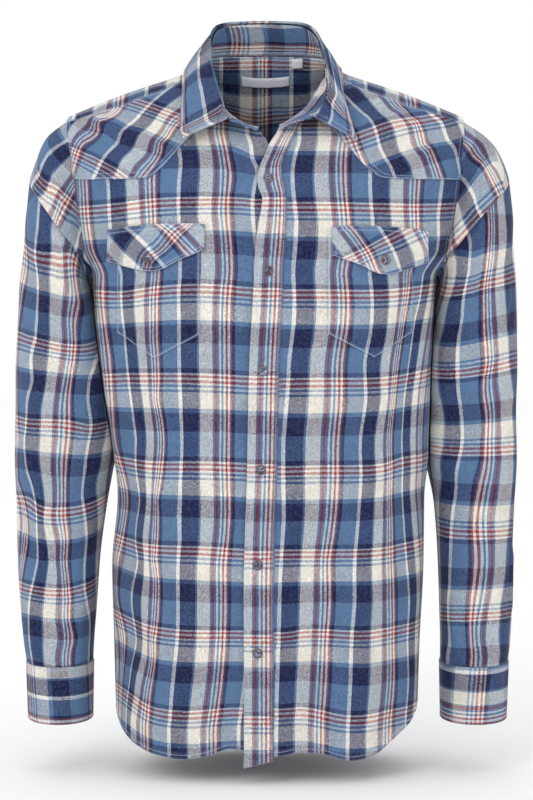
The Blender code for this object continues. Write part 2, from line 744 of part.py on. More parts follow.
def build_front_yokes():
    """The pointed yokes that lie on the fronts."""
    rows, columns = 7, YOKE_SEAM_COLUMNS
    for side, name in ((WEARERS_RIGHT, "front_yoke_right"), (WEARERS_LEFT, "front_yoke_left")):
        place = front_place(side)
        reach = np.linspace(0, 1, 60)
        x, z = (look(YOKE_EDGE, "reach", part, reach) for part in ("x", "z"))
        x = np.minimum(x, armhole_x(z, side))
        low = even(pairs(to_angle(side * x, z, side), z), columns + 1, place)
        high = even(seam_line(side)[::-1], columns + 1, place)
        outer_z = np.linspace(low[0, 1], high[0, 1], 40)
        outer = pairs(to_angle(side * armhole_x(outer_z, side), outer_z, side), outer_z)
        inner_x = np.linspace(x[-1], FORWARD_SEAM["x"][0], 40)
        inner_z = neck_z(neckline_phi(inner_x)) - SEAM
        inner = pairs(to_angle(side * inner_x, inner_z, side), inner_z)
        outer[0], outer[-1], inner[0], inner[-1] = low[0], high[0], low[-1], high[-1]
        grid = patch(low, high, even(outer, rows + 1, place), even(inner, rows + 1, place))
        phi, z = from_angle(grid, side)
        wall(name, torso(phi, z, LAYER), CLOTH, flip=side == WEARERS_LEFT)


def build_band():
    """The snap band on the wearer's left front, from the neck to the hem."""
    share = np.linspace(0, 1, BAND_ROWS + 1)[:, None]
    low, high = BAND_EDGE["z"][0], BAND_EDGE["z"][-1]
    z = high - SEAM + (low - high) * (1 - share) ** BAND_CROWDING
    edge = look(BAND_EDGE, "z", "x", z)
    across = np.linspace(0, 1, BAND_COLUMNS + 1)[None, :]
    x = edge + BAND_WIDTH * across
    z = z + (BAND_RISE_AT_HEM * (1 - share) ** 8 + BAND_RISE_AT_NECK * share**8) * across
    wall("snap_band", torso(front_phi(x, z), z, LAYER), CLOTH)


def on_front(x, z, out):
    phi = front_phi(x, z)
    return torso(phi, z, out), torso_normal(phi, z)


def build_front_snaps():
    for number, z in enumerate(SNAP_HEIGHTS, 1):
        x = look(BAND_EDGE, "z", "x", z) + SNAP_FROM_EDGE
        snap(f"snap_front_{number}", *on_front(x, z, LAYER + SEAM))


def build_pockets():
    """Pockets lie on the fronts, and their flaps lie on the pockets."""
    share = np.linspace(0, 1, POCKET_COLUMNS + 1)
    for side, word in ((WEARERS_RIGHT, "right"), (WEARERS_LEFT, "left")):
        for name, rows_of, rows, level, puff in (
            ("pocket", POCKET, POCKET_ROWS, 1, 0.0),
            ("pocket_flap", FLAP, FLAP_ROWS, 2, FLAP_PUFF),
        ):
            x, top, bottom = (
                look(rows_of, "along", f"{word}_{part}", share) for part in ("x", "top", "bottom")
            )
            rise = np.linspace(0, 1, rows + 1)[:, None]
            z = bottom + (top - bottom) * rise
            x = side * x + 0.0 * z
            out = LAYER * level + puff * np.sin(np.pi * share) ** 0.7 * (1 - rise)
            wall(f"{name}_{word}", torso(front_phi(x, z), z, out), CLOTH, flip=side == WEARERS_RIGHT)
        x, z = FLAP_SNAPS[side]
        snap(f"snap_pocket_{word}", *on_front(side * x, z, LAYER * 2 + SEAM + FLAP_PUFF))


# ---------------------------------------------------------------- the back and its yoke


def build_back():
    """From side seam to side seam, and up to just under the yoke's lower edge."""
    top = BACK_YOKE_EDGE["z"][0] + YOKE_OVERLAP
    ends = []
    for side in (WEARERS_LEFT, WEARERS_RIGHT):
        below = np.linspace(hem_z(90.0 * side), ARMPIT, 40)
        above = np.linspace(ARMPIT, top, 30)[1:]
        back_phi = 180.0 - np.degrees(np.arcsin(armhole_x(above, side) / half_width(above, side)))
        phi = np.concatenate([np.full(40, 90.0 + SIDE_GAP), back_phi])
        phi = phi if side == WEARERS_LEFT else 360.0 - phi
        ends.append(even(pairs(phi, np.concatenate([below, above])), BACK_ROWS + 1, on_torso))
    left, right = ends
    share = np.linspace(0, 1, BACK_COLUMNS + 1)
    low_phi = left[0, 0] + (right[0, 0] - left[0, 0]) * share
    high_phi = left[-1, 0] + (right[-1, 0] - left[-1, 0]) * share
    from_side = np.abs(np.sin(np.radians(high_phi))) * half_width(top, 1)
    high_z = along(-BACK_YOKE_EDGE["x"], BACK_YOKE_EDGE["z"], -from_side) + YOKE_OVERLAP
    high_z[0] = high_z[-1] = top
    low_z = hem_z(np.where(low_phi > 180, low_phi - 360, low_phi))
    grid = patch(pairs(low_phi, low_z), pairs(high_phi, high_z), left, right)
    wall("back", torso(grid[..., 0], grid[..., 1]), CLOTH)


def ridge_z(x, side):
    """Height of the shoulder's ridge at x."""
    z = np.linspace(TORSO["z"][-1], SHOULDER_TIP, 400)
    return np.interp(np.abs(x), half_width(z, side), z)


def over_ridge(grid, side):
    """Turns yoke grid points, (x, way over the ridge), into (phi, z).

    The way is the root of the drop below the ridge: minus on the back, plus on the front.
    """
    x, way = grid[..., 0], grid[..., 1]
    z = ridge_z(x, side) - way**2
    phi = np.degrees(np.arcsin(np.clip(x / half_width(z, side), -1, 1)))
    return side * np.where(way > 0, phi, 180.0 - phi), z


def yoke_point(x, z, side, facing):
    return pairs(x, facing * np.sqrt(np.maximum(ridge_z(x, side) - z, 0.0)))


def back_yoke_half(side):
    """One half, from the armhole to the centre back, as (phi, z)."""

    def place(points):
        return smooth_torso(*over_ridge(points, side))

    seam_z = look(FORWARD_SEAM, "reach", "z", np.linspace(1, 0, 60))
    seam_x = np.minimum(look(FORWARD_SEAM, "reach", "x", np.linspace(1, 0, 60)), armhole_x(seam_z, side))
    seam = yoke_point(seam_x, seam_z, side, 1)
    neck_phi = np.linspace(NECK_CORNER, 180.0, 60)
    neck_points = smooth_torso(neck_phi, neck_z(neck_phi))
    neck = yoke_point(neck_points[:, 0], neck_points[:, 2] - SEAM, side, np.sign(np.cos(np.radians(neck_phi))))
    neck[0] = seam[-1]
    high = np.concatenate(
        [even(seam, YOKE_SEAM_COLUMNS + 1, place), even(neck, YOKE_NECK_COLUMNS + 1, place)[1:]]
    )
    reach = np.linspace(0, 1, 60)
    low_x, low_z = (look(BACK_YOKE_EDGE, "reach", name, reach) for name in ("x", "z"))
    low_x = np.minimum(low_x, armhole_x(low_z, side))
    low = even(yoke_point(low_x, low_z, side, -1), len(high), place)
    up_z = np.linspace(low_z[0], ARMHOLE["z"][-1], 60)
    down_z = np.linspace(ARMHOLE["z"][-1], seam_z[0], 20)
    outer = np.concatenate(
        [yoke_point(armhole_x(up_z, side), up_z, side, -1), yoke_point(armhole_x(down_z, side), down_z, side, 1)]
    )
    outer = even(outer, YOKE_ROWS + 1, place)
    middle_z = np.linspace(low_z[-1], neck_points[-1, 2] - SEAM, YOKE_ROWS + 1)
    middle = yoke_point(0.0 * middle_z, middle_z, side, -1)
    outer[0], outer[-1], middle[0], middle[-1] = low[0], high[0], low[-1], high[-1]
    return over_ridge(patch(low, high, outer, middle), side)


def build_back_yoke():
    """From its pointed edge on the back, over the shoulders, to the seams at the front."""
    halves = []
    for side in (WEARERS_LEFT, WEARERS_RIGHT):
        phi, z = back_yoke_half(side)
        halves.append(torso(phi, z, LAYER))
    left, right = halves
    wall("back_yoke", np.concatenate([left, right[:, ::-1][:, 1:]], 1), CLOTH)


# ---------------------------------------------------------------- the collar


def collar_line(columns, share):
    """A line along the collar: share 0 at the wearer's right end, 1 at the left end."""
    place = np.linspace(0, 1, len(FOLD_LINE["phi"]))
    return np.stack([along(place, column, share) for column in columns], -1)


def fold_line(share):
    return collar_line([FOLD_LINE[name] for name in ("x", "y", "z")], share)


def foot_line(share):
    """The foot of the stand, just over the neckline."""
    turned = np.where(FOLD_LINE["phi"] < 0, FOLD_LINE["phi"] + 360, FOLD_LINE["phi"])
    phi = collar_line([turned], share)[..., 0]
    turn = np.where(phi > 180, 360 - phi, phi)
    level = DOUBLE * np.where(phi > 180, soft_step((turn - 9.0) / 5.0), 1.0)
    over = STAND_OVER_NECK + 0.0012 * np.exp(-(((turn - 84.0) / 14.0) ** 2))
    return torso(phi, neck_z(turn), level) + over[..., None] * [0, 0, 1]


def build_stand():
    share = np.linspace(0, 1, COLLAR_COLUMNS + 1)
    foot, head = foot_line(share), fold_line(share) - [0, 0, STAND_UNDER_FOLD]
    rise = np.linspace(0, 1, STAND_ROWS + 1)[:, None, None]
    wall("collar_stand", foot + (head - foot) * rise, DOUBLE, flip=True)


def build_leaf():
    """The turned-down leaf: over the top of the stand and out to the points."""
    last = len(FOLD_LINE["phi"]) - 1
    place = np.linspace(0, 1, COLLAR_COLUMNS + 1)
    inner = fold_line((LEAF_STARTS + (LEAF_ENDS - LEAF_STARTS) * place) / last)
    edge = np.stack([look(LEAF_EDGE, "place", name, place) for name in ("x", "y", "z")], -1)
    way = edge - inner
    out = unit(way * [1, 1, 0])
    section = zip(*LEAF_SECTION.values())
    rows = np.stack([inner + way * share + out * off + [0, 0, rise] for share, off, rise in section])
    rows[-LEAF_ROWS_ON_BODY:] = keep_off(rows[-LEAF_ROWS_ON_BODY:], LAYER + LIFT)
    wall("collar_leaf", rows, DOUBLE, flip=False, outwards=True)


def build_labels():
    for name, spec in (("main_label", MAIN_LABEL), ("size_label", SIZE_LABEL)):
        x = spec["x"] + spec["half_width"] * np.linspace(-1, 1, 7)[None, :]
        z = spec["z"] + spec["half_height"] * np.linspace(-1, 1, 3)[:, None]
        x, z = np.broadcast_arrays(x, z)
        phi = 180.0 - front_phi(x, z)
        wall(name, torso(phi, z), LABEL_CLOTH, "label", flip=True)


# ---------------------------------------------------------------- the sleeves


def armhole_loop(side, count):
    """Points round the armhole, from the shoulder's tip over the front to the armpit and up the back."""
    share = (1 - np.cos(np.linspace(0, np.pi, 90))) / 2
    z = ARMHOLE["z"][-1] + (ARMPIT - ARMHOLE["z"][-1]) * share
    halves = []
    for phi in (armhole_phi(z), 180.0 - armhole_phi(z)):
        points = torso(side * phi, z)
        run = running_length(points)
        at = np.linspace(0, run[-1], count // 2 + 1)
        halves.append(np.stack([np.interp(at, run, points[:, i]) for i in range(3)], -1))
    front, back = halves
    return np.concatenate([front, back[1:-1][::-1]]) + [side * SLEEVE_SHIFT, 0, 0]


def sleeve_rings(side, count):
    """The named rings of one sleeve, each with its points in the same order as the armhole's."""
    turn = np.linspace(0, 2 * np.pi, count, endpoint=False)
    power = 0.86
    reach_share = np.sign(np.cos(turn)) * np.abs(np.cos(turn)) ** power
    depth_share = np.sign(np.sin(turn)) * np.abs(np.sin(turn)) ** power
    rings = [armhole_loop(side, count)]
    for outer_x, outer_z, inner_x, inner_z, middle_y, half_depth in zip(*SLEEVES[side].values()):
        outer = np.array([side * outer_x, middle_y, outer_z])
        inner = np.array([side * inner_x, middle_y, inner_z])
        across, back = reach_share[:, None] * (outer - inner) / 2, depth_share[:, None] * [0, half_depth, 0]
        rings.append((outer + inner) / 2 + across - back)
    rings[-1][:, 2] -= CUFF_TILT * half_depth * depth_share - SEAM
    return np.stack(rings)


def grid_normals(grid, side):
    around = np.roll(grid, -1, 1) - np.roll(grid, 1, 1)
    return unit(np.cross(around, np.gradient(grid, axis=0))) * side


def sleeve_grid(side, rows, columns):
    """The sleeve's outer face, with its folds, from the armhole down to the cuff."""
    rings = sleeve_rings(side, columns)
    run = running_length(rings.mean(1))
    drop = np.linspace(0, 1, rows)
    grid = np.empty((rows, columns, 3))
    for column in range(columns):
        for axis in range(3):
            grid[:, column, axis] = along(run / run[-1], rings[:, column, axis], drop)
    turn = np.linspace(0, 360, columns, endpoint=False)[None, :]
    turn = np.where(turn > 180, turn - 360, turn)
    height = fold_height(turn, drop[:, None], SLEEVE_FOLDS, metres_across=0.0010, metres_down=run[-1])
    grid += grid_normals(grid, side) * height[..., None]
    pushed = keep_off(grid, SLEEVE_CLEARANCE)
    below = soft_step((ARMPIT - 0.004 - grid[..., 2:]) / 0.020)
    return grid + (pushed - grid) * below


def build_sleeves():
    for side, word in ((WEARERS_RIGHT, "right"), (WEARERS_LEFT, "left")):
        grid = sleeve_grid(side, SLEEVE_ROWS, SLEEVE_COLUMNS)
        wall(f"sleeve_{word}", grid, CLOTH, closed=True, flip=side == WEARERS_RIGHT)


def wrist(side, z, turn, out):
    """A point of the cuff: turn is in degrees round the wrist from its outer side."""
    rows = SLEEVES[side]
    share = np.clip((CUFF_TOP - z) / (CUFF_TOP - CUFF_BOTTOM), 0, 1)
    outer, inner = rows["outer_x"][-1] - 0.0020 * share, rows["inner_x"][-1] + 0.0012 * share
    half = (outer - inner) / 2
    deep = rows["half_depth"][-1] - 0.0015 * share
    turn = np.radians(turn)
    outward = unit(np.stack([np.cos(turn) / half, -np.sin(turn) / deep], -1))
    x = (outer + inner) / 2 + np.cos(turn) * half + outward[..., 0] * out
    y = -np.sin(turn) * deep + outward[..., 1] * out
    points = np.broadcast_arrays(side * x, rows["middle_y"][-1] + y, z + CUFF_TILT * y)
    return np.stack(points, -1)


def build_cuffs():
    """A band round each wrist, one end lapped over the other and snapped."""
    share = np.linspace(0, 1, CUFF_COLUMNS + 1)[None, :]
    turn = CUFF_LAP_AT - CUFF_LAP / 2 + share * (360.0 + CUFF_LAP)
    lap = CUFF_LAP / (360.0 + CUFF_LAP)
    out = CUFF_EASE + (DOUBLE + LIFT) * soft_step((share - 1 + 1.8 * lap) / (0.6 * lap))
    z = np.linspace(CUFF_BOTTOM, CUFF_TOP, CUFF_ROWS + 1)[:, None]
    for side, word in ((WEARERS_RIGHT, "right"), (WEARERS_LEFT, "left")):
        grid = wrist(side, z + 0.0 * share, turn + 0.0 * z, out + 0.0 * z)
        wall(f"cuff_{word}", grid, DOUBLE, flip=side == WEARERS_LEFT)
        for number, height in enumerate(CUFF_SNAP_HEIGHTS, 1):
            level = CUFF_EASE + DOUBLE + LIFT + SEAM
            point, beyond = (wrist(side, height, CUFF_LAP_AT, level + more) for more in (0.0, 0.01))
            snap(f"snap_cuff_{word}_{number}", point, beyond - point)


def build_sleeve_plackets():
    """The pointed cover of the slit above each cuff."""
    fine_rows, fine_columns = 121, 96
    for side, word in ((WEARERS_RIGHT, "right"), (WEARERS_LEFT, "left")):
        fine = sleeve_grid(side, fine_rows, fine_columns)
        normal = grid_normals(fine, side)
        centre = (SLEEVE_PLACKET["turn"] % 360.0) / 360.0 * fine_columns
        grid = []
        for row, drop in enumerate(np.linspace(SLEEVE_PLACKET["from_drop"], SLEEVE_PLACKET["to_drop"], PLACKET_ROWS + 1)):
            ring = round(drop * (fine_rows - 1))
            step = np.linalg.norm(np.roll(fine[ring], -1, 0) - fine[ring], axis=1).mean()
            half = SLEEVE_PLACKET["half_width"] / step * (SLEEVE_PLACKET["end_share"] if row == 0 else 1.0)
            at = centre + half * np.array([-1.0, 0.0, 1.0])
            low, part = np.floor(at).astype(int) % fine_columns, (at % 1.0)[:, None]
            high = (low + 1) % fine_columns
            point = fine[ring, low] * (1 - part) + fine[ring, high] * part
            facing = unit(normal[ring, low] * (1 - part) + normal[ring, high] * part)
            grid.append(point + facing * (LAYER + SEAM))
        wall(f"sleeve_placket_{word}", np.stack(grid), CLOTH, flip=side == WEARERS_RIGHT)


def main():
    clear_scene()
    build_fronts()
    build_front_yokes()
    build_band()
    build_front_snaps()
    build_pockets()
    build_back()
    build_back_yoke()
    build_stand()
    build_leaf()
    build_labels()
    build_sleeves()
    build_cuffs()
    build_sleeve_plackets()


main()
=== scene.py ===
"""Western snap shirt in brushed cotton plaid, filled out as it is worn, with nobody inside it.

Metres, +Z up. The front faces -Y, and +X is the wearer's left. The torso is one surface, torso(phi, z): phi
goes round it in degrees, from 0 at the centre front over +90 at the wearer's left side to 180 at the centre
back. Each panel is a fine grid of points on it, and what lies on a panel is a grid of the same surface, moved
out.
"""

import math

import bpy
import numpy as np
from mathutils import Matrix, Vector


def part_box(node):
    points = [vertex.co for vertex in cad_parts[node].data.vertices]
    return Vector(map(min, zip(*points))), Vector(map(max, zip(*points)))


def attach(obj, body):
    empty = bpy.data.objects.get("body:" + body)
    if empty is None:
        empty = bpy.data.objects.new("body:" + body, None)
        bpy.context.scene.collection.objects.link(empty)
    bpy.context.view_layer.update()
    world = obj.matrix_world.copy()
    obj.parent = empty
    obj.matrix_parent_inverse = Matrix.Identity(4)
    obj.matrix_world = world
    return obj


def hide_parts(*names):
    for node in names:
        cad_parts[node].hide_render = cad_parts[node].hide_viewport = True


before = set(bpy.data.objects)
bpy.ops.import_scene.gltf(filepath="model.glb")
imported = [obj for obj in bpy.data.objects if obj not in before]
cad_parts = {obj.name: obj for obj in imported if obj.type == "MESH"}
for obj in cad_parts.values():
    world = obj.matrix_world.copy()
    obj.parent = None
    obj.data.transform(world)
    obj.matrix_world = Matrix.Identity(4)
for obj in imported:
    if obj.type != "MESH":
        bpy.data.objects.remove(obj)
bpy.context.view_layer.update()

# Thicknesses and levels of the cloth
CLOTH = 0.0009  # one layer of flannel with its nap
DOUBLE = 0.0015  # collar, stand, cuffs
LEVEL = 0.0017  # how far a piece that lies on a panel stands out from it
SEAM = 0.0003  # between neighbouring pieces
LIFT = 0.0012  # of a lapped end over the one below
LAYER = 0.0024  # how far the collar's leaf keeps off the torso's surface, before its own thickness
STAND_UNDER_FOLD = 0.0034  # how far the stand's top stays below the leaf's fold

# How round the torso's section is
SECTION_POWER = 2.6
SECTION_ROOT = 2.0
METRES_A_DEGREE = 0.0026  # round the torso, where folds are measured

# Heights and places that several pieces share
SHOULDER_TIP = -0.0450
ARMPIT = -0.1900
NECK_CORNER = 56.0  # degrees round the neckline at which the shoulder seam meets it

# Front band and its snaps
BAND_WIDTH = 0.031
BAND_RISE_AT_HEM, BAND_RISE_AT_NECK = 0.008, 0.006  # how much higher the seam's end is than the free edge's
BAND_RISE_POWER = 8  # the higher, the closer to the ends it rises
SNAP_HEIGHTS = (-0.0884, -0.1835, -0.2862, -0.3883, -0.4877, -0.5802)
SNAP_RADIUS = 0.0054

# Cuffs
CUFF_TOP = -0.6025
CUFF_BOTTOM = -0.6645
CUFF_TAPERS = (-0.0020, 0.0012, -0.0015)  # of its outer side, inner side and half-depth, going down
CUFF_TILT = 0.05  # how much lower the front of a cuff hangs, for each metre of its depth
CUFF_LAP = 26.0  # degrees by which one end lies over the other
CUFF_LIFT_FROM, CUFF_LIFT_OVER = 1.8, 0.6  # in laps before its end: where it starts to lift, and over what
CUFF_EASE = 0.0012  # how far a cuff stands out from the sleeve's end
CUFF_LAP_AT = -48.0  # degrees round the wrist from its outer side; minus is towards the back
CUFF_SNAP_HEIGHTS = (-0.6200, -0.6520)

# Rows of stitches: how far they lie from the edge that they hold
HEM_ROW = 0.0045
SEAM_ROW = 0.0060  # side seams, armholes and the collar's edge
YOKE_ROWS = (0.0018, 0.0068)
YOKE_EDGE_ROWS = (*(("b", inset) for inset in YOKE_ROWS), ("l", SEAM_ROW))
YOKE_TOP_ROW = 0.0020
YOKE_SEAM_ROW = 0.0024
YOKE_ROW_END = 0.003
CUFF_TOP_ROW, CUFF_BOTTOM_ROW, CUFF_END_ROW = 0.0030, 0.0050, 0.003
CUFF_ROW_ENDS = {"t": (0.003, 0.003), "b": (0.003, 0.003), "l": (0.004, 0.006), "r": (0.004, 0.006)}
BAND_EDGE_ROW, BAND_SEAM_ROW = 0.005, 0.0025
BAND_SEAM_STITCHES = 0.0022
POCKET_ROW_ENDS = 0.0015
ROW_ENDS = 0.004  # how far a row usually stops short of the ends of its edge

WEARERS_RIGHT, WEARERS_LEFT = -1, 1
SIDES = {WEARERS_RIGHT: "right", WEARERS_LEFT: "left"}
PLAIN_COLUMNS = "phi turn drop reach place along way".split()  # degrees and shares; all others are lengths


def table(columns, rows):
    """Named columns of numbers, with a semicolon between rows. Lengths are written in mm and kept in m."""
    names = columns.split()
    units = [1 if name.split("_")[0] in PLAIN_COLUMNS else 1000 for name in names]
    numbers = np.array([row.split() for row in rows.split(";")], float) / units
    return dict(zip(names, numbers.T))


# Half-widths and depths of the torso, from the hem up. From the shoulder's tip up, the half-width is that
# of the ridge, which goes on to a peak over the neck opening that no panel reaches.
TORSO = table("z right left front back", """
    -730 159 164 103 108; -640 160.8 165.5 105 108; -580 162.2 167.2 107 106; -500 164.2 171 110 102;
    -425 158 171.8 113 98; -380 162.2 176.5 116 99; -300 174.5 178.7 120 104; -240 181.7 181.2 122 110;
    -190 184.5 184 121 114; -160 202 205 117 115; -120 214 219 113 115; -80 219 224 101 112;
    -45 221 224 79 104; -23.5 211 212 59 95; -12.5 188 189 50 90; -0.5 158 159 42 86; 9.5 130 131 34 83;
    17.5 105 106 28 80; 25.5 83 84 22 77; 32 74 75 18 75; 42 67 68 16 73; 52 62 63 14 72; 64 54 55 12 71;
    78 40 41 10 70; 90 5 6 8 69""")

# The armhole: where each height meets the sleeve, in degrees from the centre front (or the centre back)
ARMHOLE = table("z phi", """
    -190 90; -186 80; -175 73.5; -150 68.8; -110 67.2; -75 67.5; -47.5 69.5; -32.5 74.5; -26 81; -23.5 90""")

# The neckline, from the centre front round to the centre back
NECKLINE = table("phi z", """
    0 -34.5; 4 -32.5; 9.8 -20.5; 20.4 2; 32 15; 56 26.2; 72 33.5; 90 38.5; 125 46.2; 150 49.5; 180 50.2""")

# The seam between the back yoke and the front, set forward of the ridge; reach goes from neck to armhole
FORWARD_SEAM = table("reach x z", """
    0 69 26.2; 0.28 107 6; 0.46 132 -2.5; 0.6 151 -11; 0.7 165 -14.5; 0.83 182 -20; 1 206.5 -27.5""")

# The tails: height of the hem round the body, in the waves that it hangs in
HEM = table("phi z", """
    -180 -699; -150 -696.5; -122 -679; -104 -657; -90 -650; -78 -665; -60 -683.5; -43 -692; -33 -694.5;
    -22 -690.5; -13 -683; -4 -686; 4 -690; 13 -686.5; 22 -688.5; 33 -695.5; 43 -692; 56 -679; 70 -666;
    90 -648; 104 -656; 122 -678; 150 -696.5; 180 -699""")

# The band's free edge, which sways and curls as the snapped front hangs, and the seam on its other side
BAND_EDGE = table("z x", """
    -702 -21.5; -520 -21.5; -390 -18; -285 -15.8; -200 -11.2; -176 -10; -156.6 -9.1; -141.1 -6.8;
    -125.7 -4.2; -110.2 -2.2; -106.4 -2.4; -100 -5.8; -94 -6.8; -84.5 -6.8; -75.2 -4.5; -66.5 -0.6;
    -55.6 3.7; -49.5 7.1; -44 10.9; -34.5 15.2""")
BAND_SEAM = table("z x", """
    -702 9.5; -520 9.5; -390 13; -285 15.2; -200 19.2; -179 19.6; -156.6 21.8; -125.7 22.8; -105 22.2;
    -88 18.8; -79 18.4; -57.7 26.3; -34.5 38.5""")

# The other front's edge, which shows in the open neck and then runs under the band
UNDER_EDGE = table("z x", """
    -686 8.5; -300 13; -140 18; -90 16; -60 8; -48 3; -34.5 -6""")

# Soft folds of the torso: a line on the surface, how far it stands out (minus: sinks in), and half its width
TORSO_FOLDS = table("phi_from z_from phi_to z_to height spread", """
    -64 -150 -69 -350 5 24; 65 -160 69 -360 5 24; -66 -400 -62 -660 -4.5 28; -46 -430 -44 -710 4.5 30;
    -17 -540 -16 -720 -5 28; 15 -590 16 -720 -4.5 28; 36 -500 37 -720 5.5 30; 60 -410 57 -680 -4.5 28;
    112 -210 132 -400 -6 30; -112 -210 -132 -400 -6 30; 147 -330 143 -700 7 34; -147 -330 -143 -700 7 34;
    176 -360 172 -700 -6 32; 118 -420 114 -660 5.5 30; -118 -420 -114 -660 5.5 30""")

# The sleeves, ring by ring: the outer and inner points as seen from the front, and the depth about them
SLEEVE_RIGHT = table("outer_x outer_z inner_x inner_z middle_y half_depth", """
    232.5 -42 188 -195.5 2 61; 243 -64 187.5 -200 5 66; 251.5 -92 186 -206 8 70;
    253.5 -118 184 -214 10 69; 257.5 -155 180 -228 12 69; 263 -195 174 -248 14 68;
    265.5 -240 166 -278 16 66; 268.5 -290 159 -312 18 62.5; 269 -335 156 -348 19 58;
    270 -385 162 -388 18 54; 268 -435 170.5 -436 14 52; 266.5 -490 177.5 -490 8 50;
    263 -545 181.2 -545 2 48; 259 -585 184.2 -585 -2 46; 256.2 -602.5 185 -602.5 -3 43.5""")
SLEEVE_LEFT = table("outer_x outer_z inner_x inner_z middle_y half_depth", """
    235 -40 188 -195.5 2 61; 251 -59 187.5 -200 5 66; 261.5 -88 186 -206 8 70;
    264.5 -118 184.5 -214 10 69; 266.5 -155 181 -228 12 69; 270.5 -195 177 -248 14 68;
    272 -240 172 -278 16 66; 272.8 -290 168 -312 18 62.5; 271.8 -335 167 -348 19 58;
    272.8 -385 174 -388 18 54; 270 -435 183.5 -436 14 52; 267.5 -490 187.2 -490 8 50;
    266.8 -545 188.8 -545 2 48; 264.5 -585 189.7 -585 -2 46; 262.5 -602.5 189.5 -602.5 -3 43.5""")
SLEEVES = {WEARERS_RIGHT: SLEEVE_RIGHT, WEARERS_LEFT: SLEEVE_LEFT}

# Folds of the sleeves: turn is degrees round the arm from its outer side (minus: towards the back), drop is
# the share of the way down, height and spread as on the torso
SLEEVE_FOLDS = table("turn_from drop_from turn_to drop_to height spread", """
    10 0.14 140 0.215 2.5 18; 15 0.205 145 0.285 -2 18; -10 0.15 -140 0.23 4.5 20; 30 0.42 120 0.5 2.4 20;
    150 0.56 70 0.6 2.8 15; 155 0.615 75 0.665 -2.4 15; -60 0.56 -140 0.64 5 20;
    -75 0.64 -150 0.7 -4.5 18; 25 0.64 55 0.79 -1.8 15; 78 0.85 82 0.96 -2.2 14; 130 0.85 126 0.96 2.4 14;
    -110 0.85 -114 0.96 4 17; -146 0.1 -146 0.56 12 34""")

# Finer creases, which the sewn cloth keeps from washing and wear: as the folds, but narrower and uneven.
# The sleeves' are by side, since no two arms crease alike.
TORSO_CREASES = table("phi_from z_from phi_to z_to height spread", """
    -31 -105 -22 -128 -1 6; -56 -205 -50 -262 -1.1 8; -48 -300 -58 -372 1.2 9; -33 -330 -21 -352 -0.8 7;
    -27 -455 -38 -500 1 10; -12 -400 -20 -470 -0.9 8; -70 -440 -58 -475 -1.3 9; -52 -560 -47 -640 -1.2 10;
    -30 -600 -26 -690 1.2 10; -75 -235 -62 -268 1.2 8; 13 -118 24 -136 -0.9 6; 22 -235 31 -291 0.9 8;
    52 -222 61 -286 -1.2 8; 72 -230 60 -275 1.3 8; 41 -352 29 -402 -1 9; 57 -395 66 -452 1.2 9;
    20 -480 33 -515 0.8 9; 47 -530 42 -622 -1.3 10; 26 -625 23 -690 -1.1 9; 78 -560 71 -640 1.3 10;
    103 -230 118 -285 -1.5 9; -101 -225 -121 -301 -1.6 10; 140 -185 158 -222 -1.1 10;
    -137 -180 -150 -241 1.2 10; 165 -300 173 -395 1.3 12; -168 -255 -158 -335 -1.2 11;
    126 -370 141 -425 1.4 10; -129 -405 -142 -452 -1.3 10; 155 -480 149 -590 -1.4 12;
    -161 -510 -166 -635 1.3 12; 105 -540 112 -630 1.4 11; -108 -500 -99 -585 -1.3 10""")
SLEEVE_CREASES = {
    WEARERS_RIGHT: table("turn_from drop_from turn_to drop_to height spread", """
        35 0.3 70 0.345 -1 7; 80 0.33 140 0.372 1.3 8; 20 0.385 62 0.402 0.9 7; 95 0.42 150 0.455 -1.4 8;
        150 0.47 88 0.512 1.4 8; 40 0.5 12 0.56 -1.1 8; 145 0.545 100 0.577 -1.3 7; 60 0.59 18 0.622 1 8;
        120 0.64 65 0.69 -1 8; 35 0.72 50 0.8 1 8; 100 0.76 92 0.85 -1.1 8; 60 0.9 66 0.985 -1.2 6;
        104 0.915 101 0.985 1.1 6; 30 0.925 33 0.985 1 6; -40 0.31 -105 0.372 1.4 9;
        -70 0.4 -140 0.45 -1.5 9; -35 0.48 -95 0.52 1.2 8; -60 0.7 -120 0.775 -1.3 9;
        -95 0.9 -90 0.985 -1.2 7"""),
    WEARERS_LEFT: table("turn_from drop_from turn_to drop_to height spread", """
        28 0.245 46 0.33 -1.4 7; 70 0.29 128 0.318 -1 8; 60 0.36 110 0.412 1.2 8;
        150 0.425 92 0.458 -1.4 8; 25 0.44 55 0.47 0.9 7; 152 0.5 105 0.522 1.3 7;
        72 0.53 28 0.575 -1.2 8; 140 0.59 96 0.64 -1.2 8; 50 0.64 20 0.668 1.1 7; 16 0.76 24 0.9 2 7;
        27 0.745 33 0.905 -1.6 6; 88 0.7 112 0.765 1 8; 62 0.88 58 0.985 1.1 6; 92 0.905 96 0.985 -1.2 6;
        128 0.89 125 0.985 1.1 6; -30 0.29 -98 0.34 -1.4 9; -62 0.365 -132 0.425 1.5 9;
        -45 0.545 -112 0.585 -1.2 8; -70 0.69 -135 0.735 1.3 9; -88 0.895 -93 0.985 1.2 7"""),
}

METRES_A_TURNED_DEGREE = 0.00105  # round the arm, where the plaid is laid out
FOLD_METRES_A_DEGREE = 0.0010  # and where folds are measured
SLEEVE_CLEARANCE = 0.0012  # how far the sleeves keep off the body, below the armpit
CLEAR_FROM, CLEAR_OVER = 0.004, 0.020  # how far below it that starts, and over what height

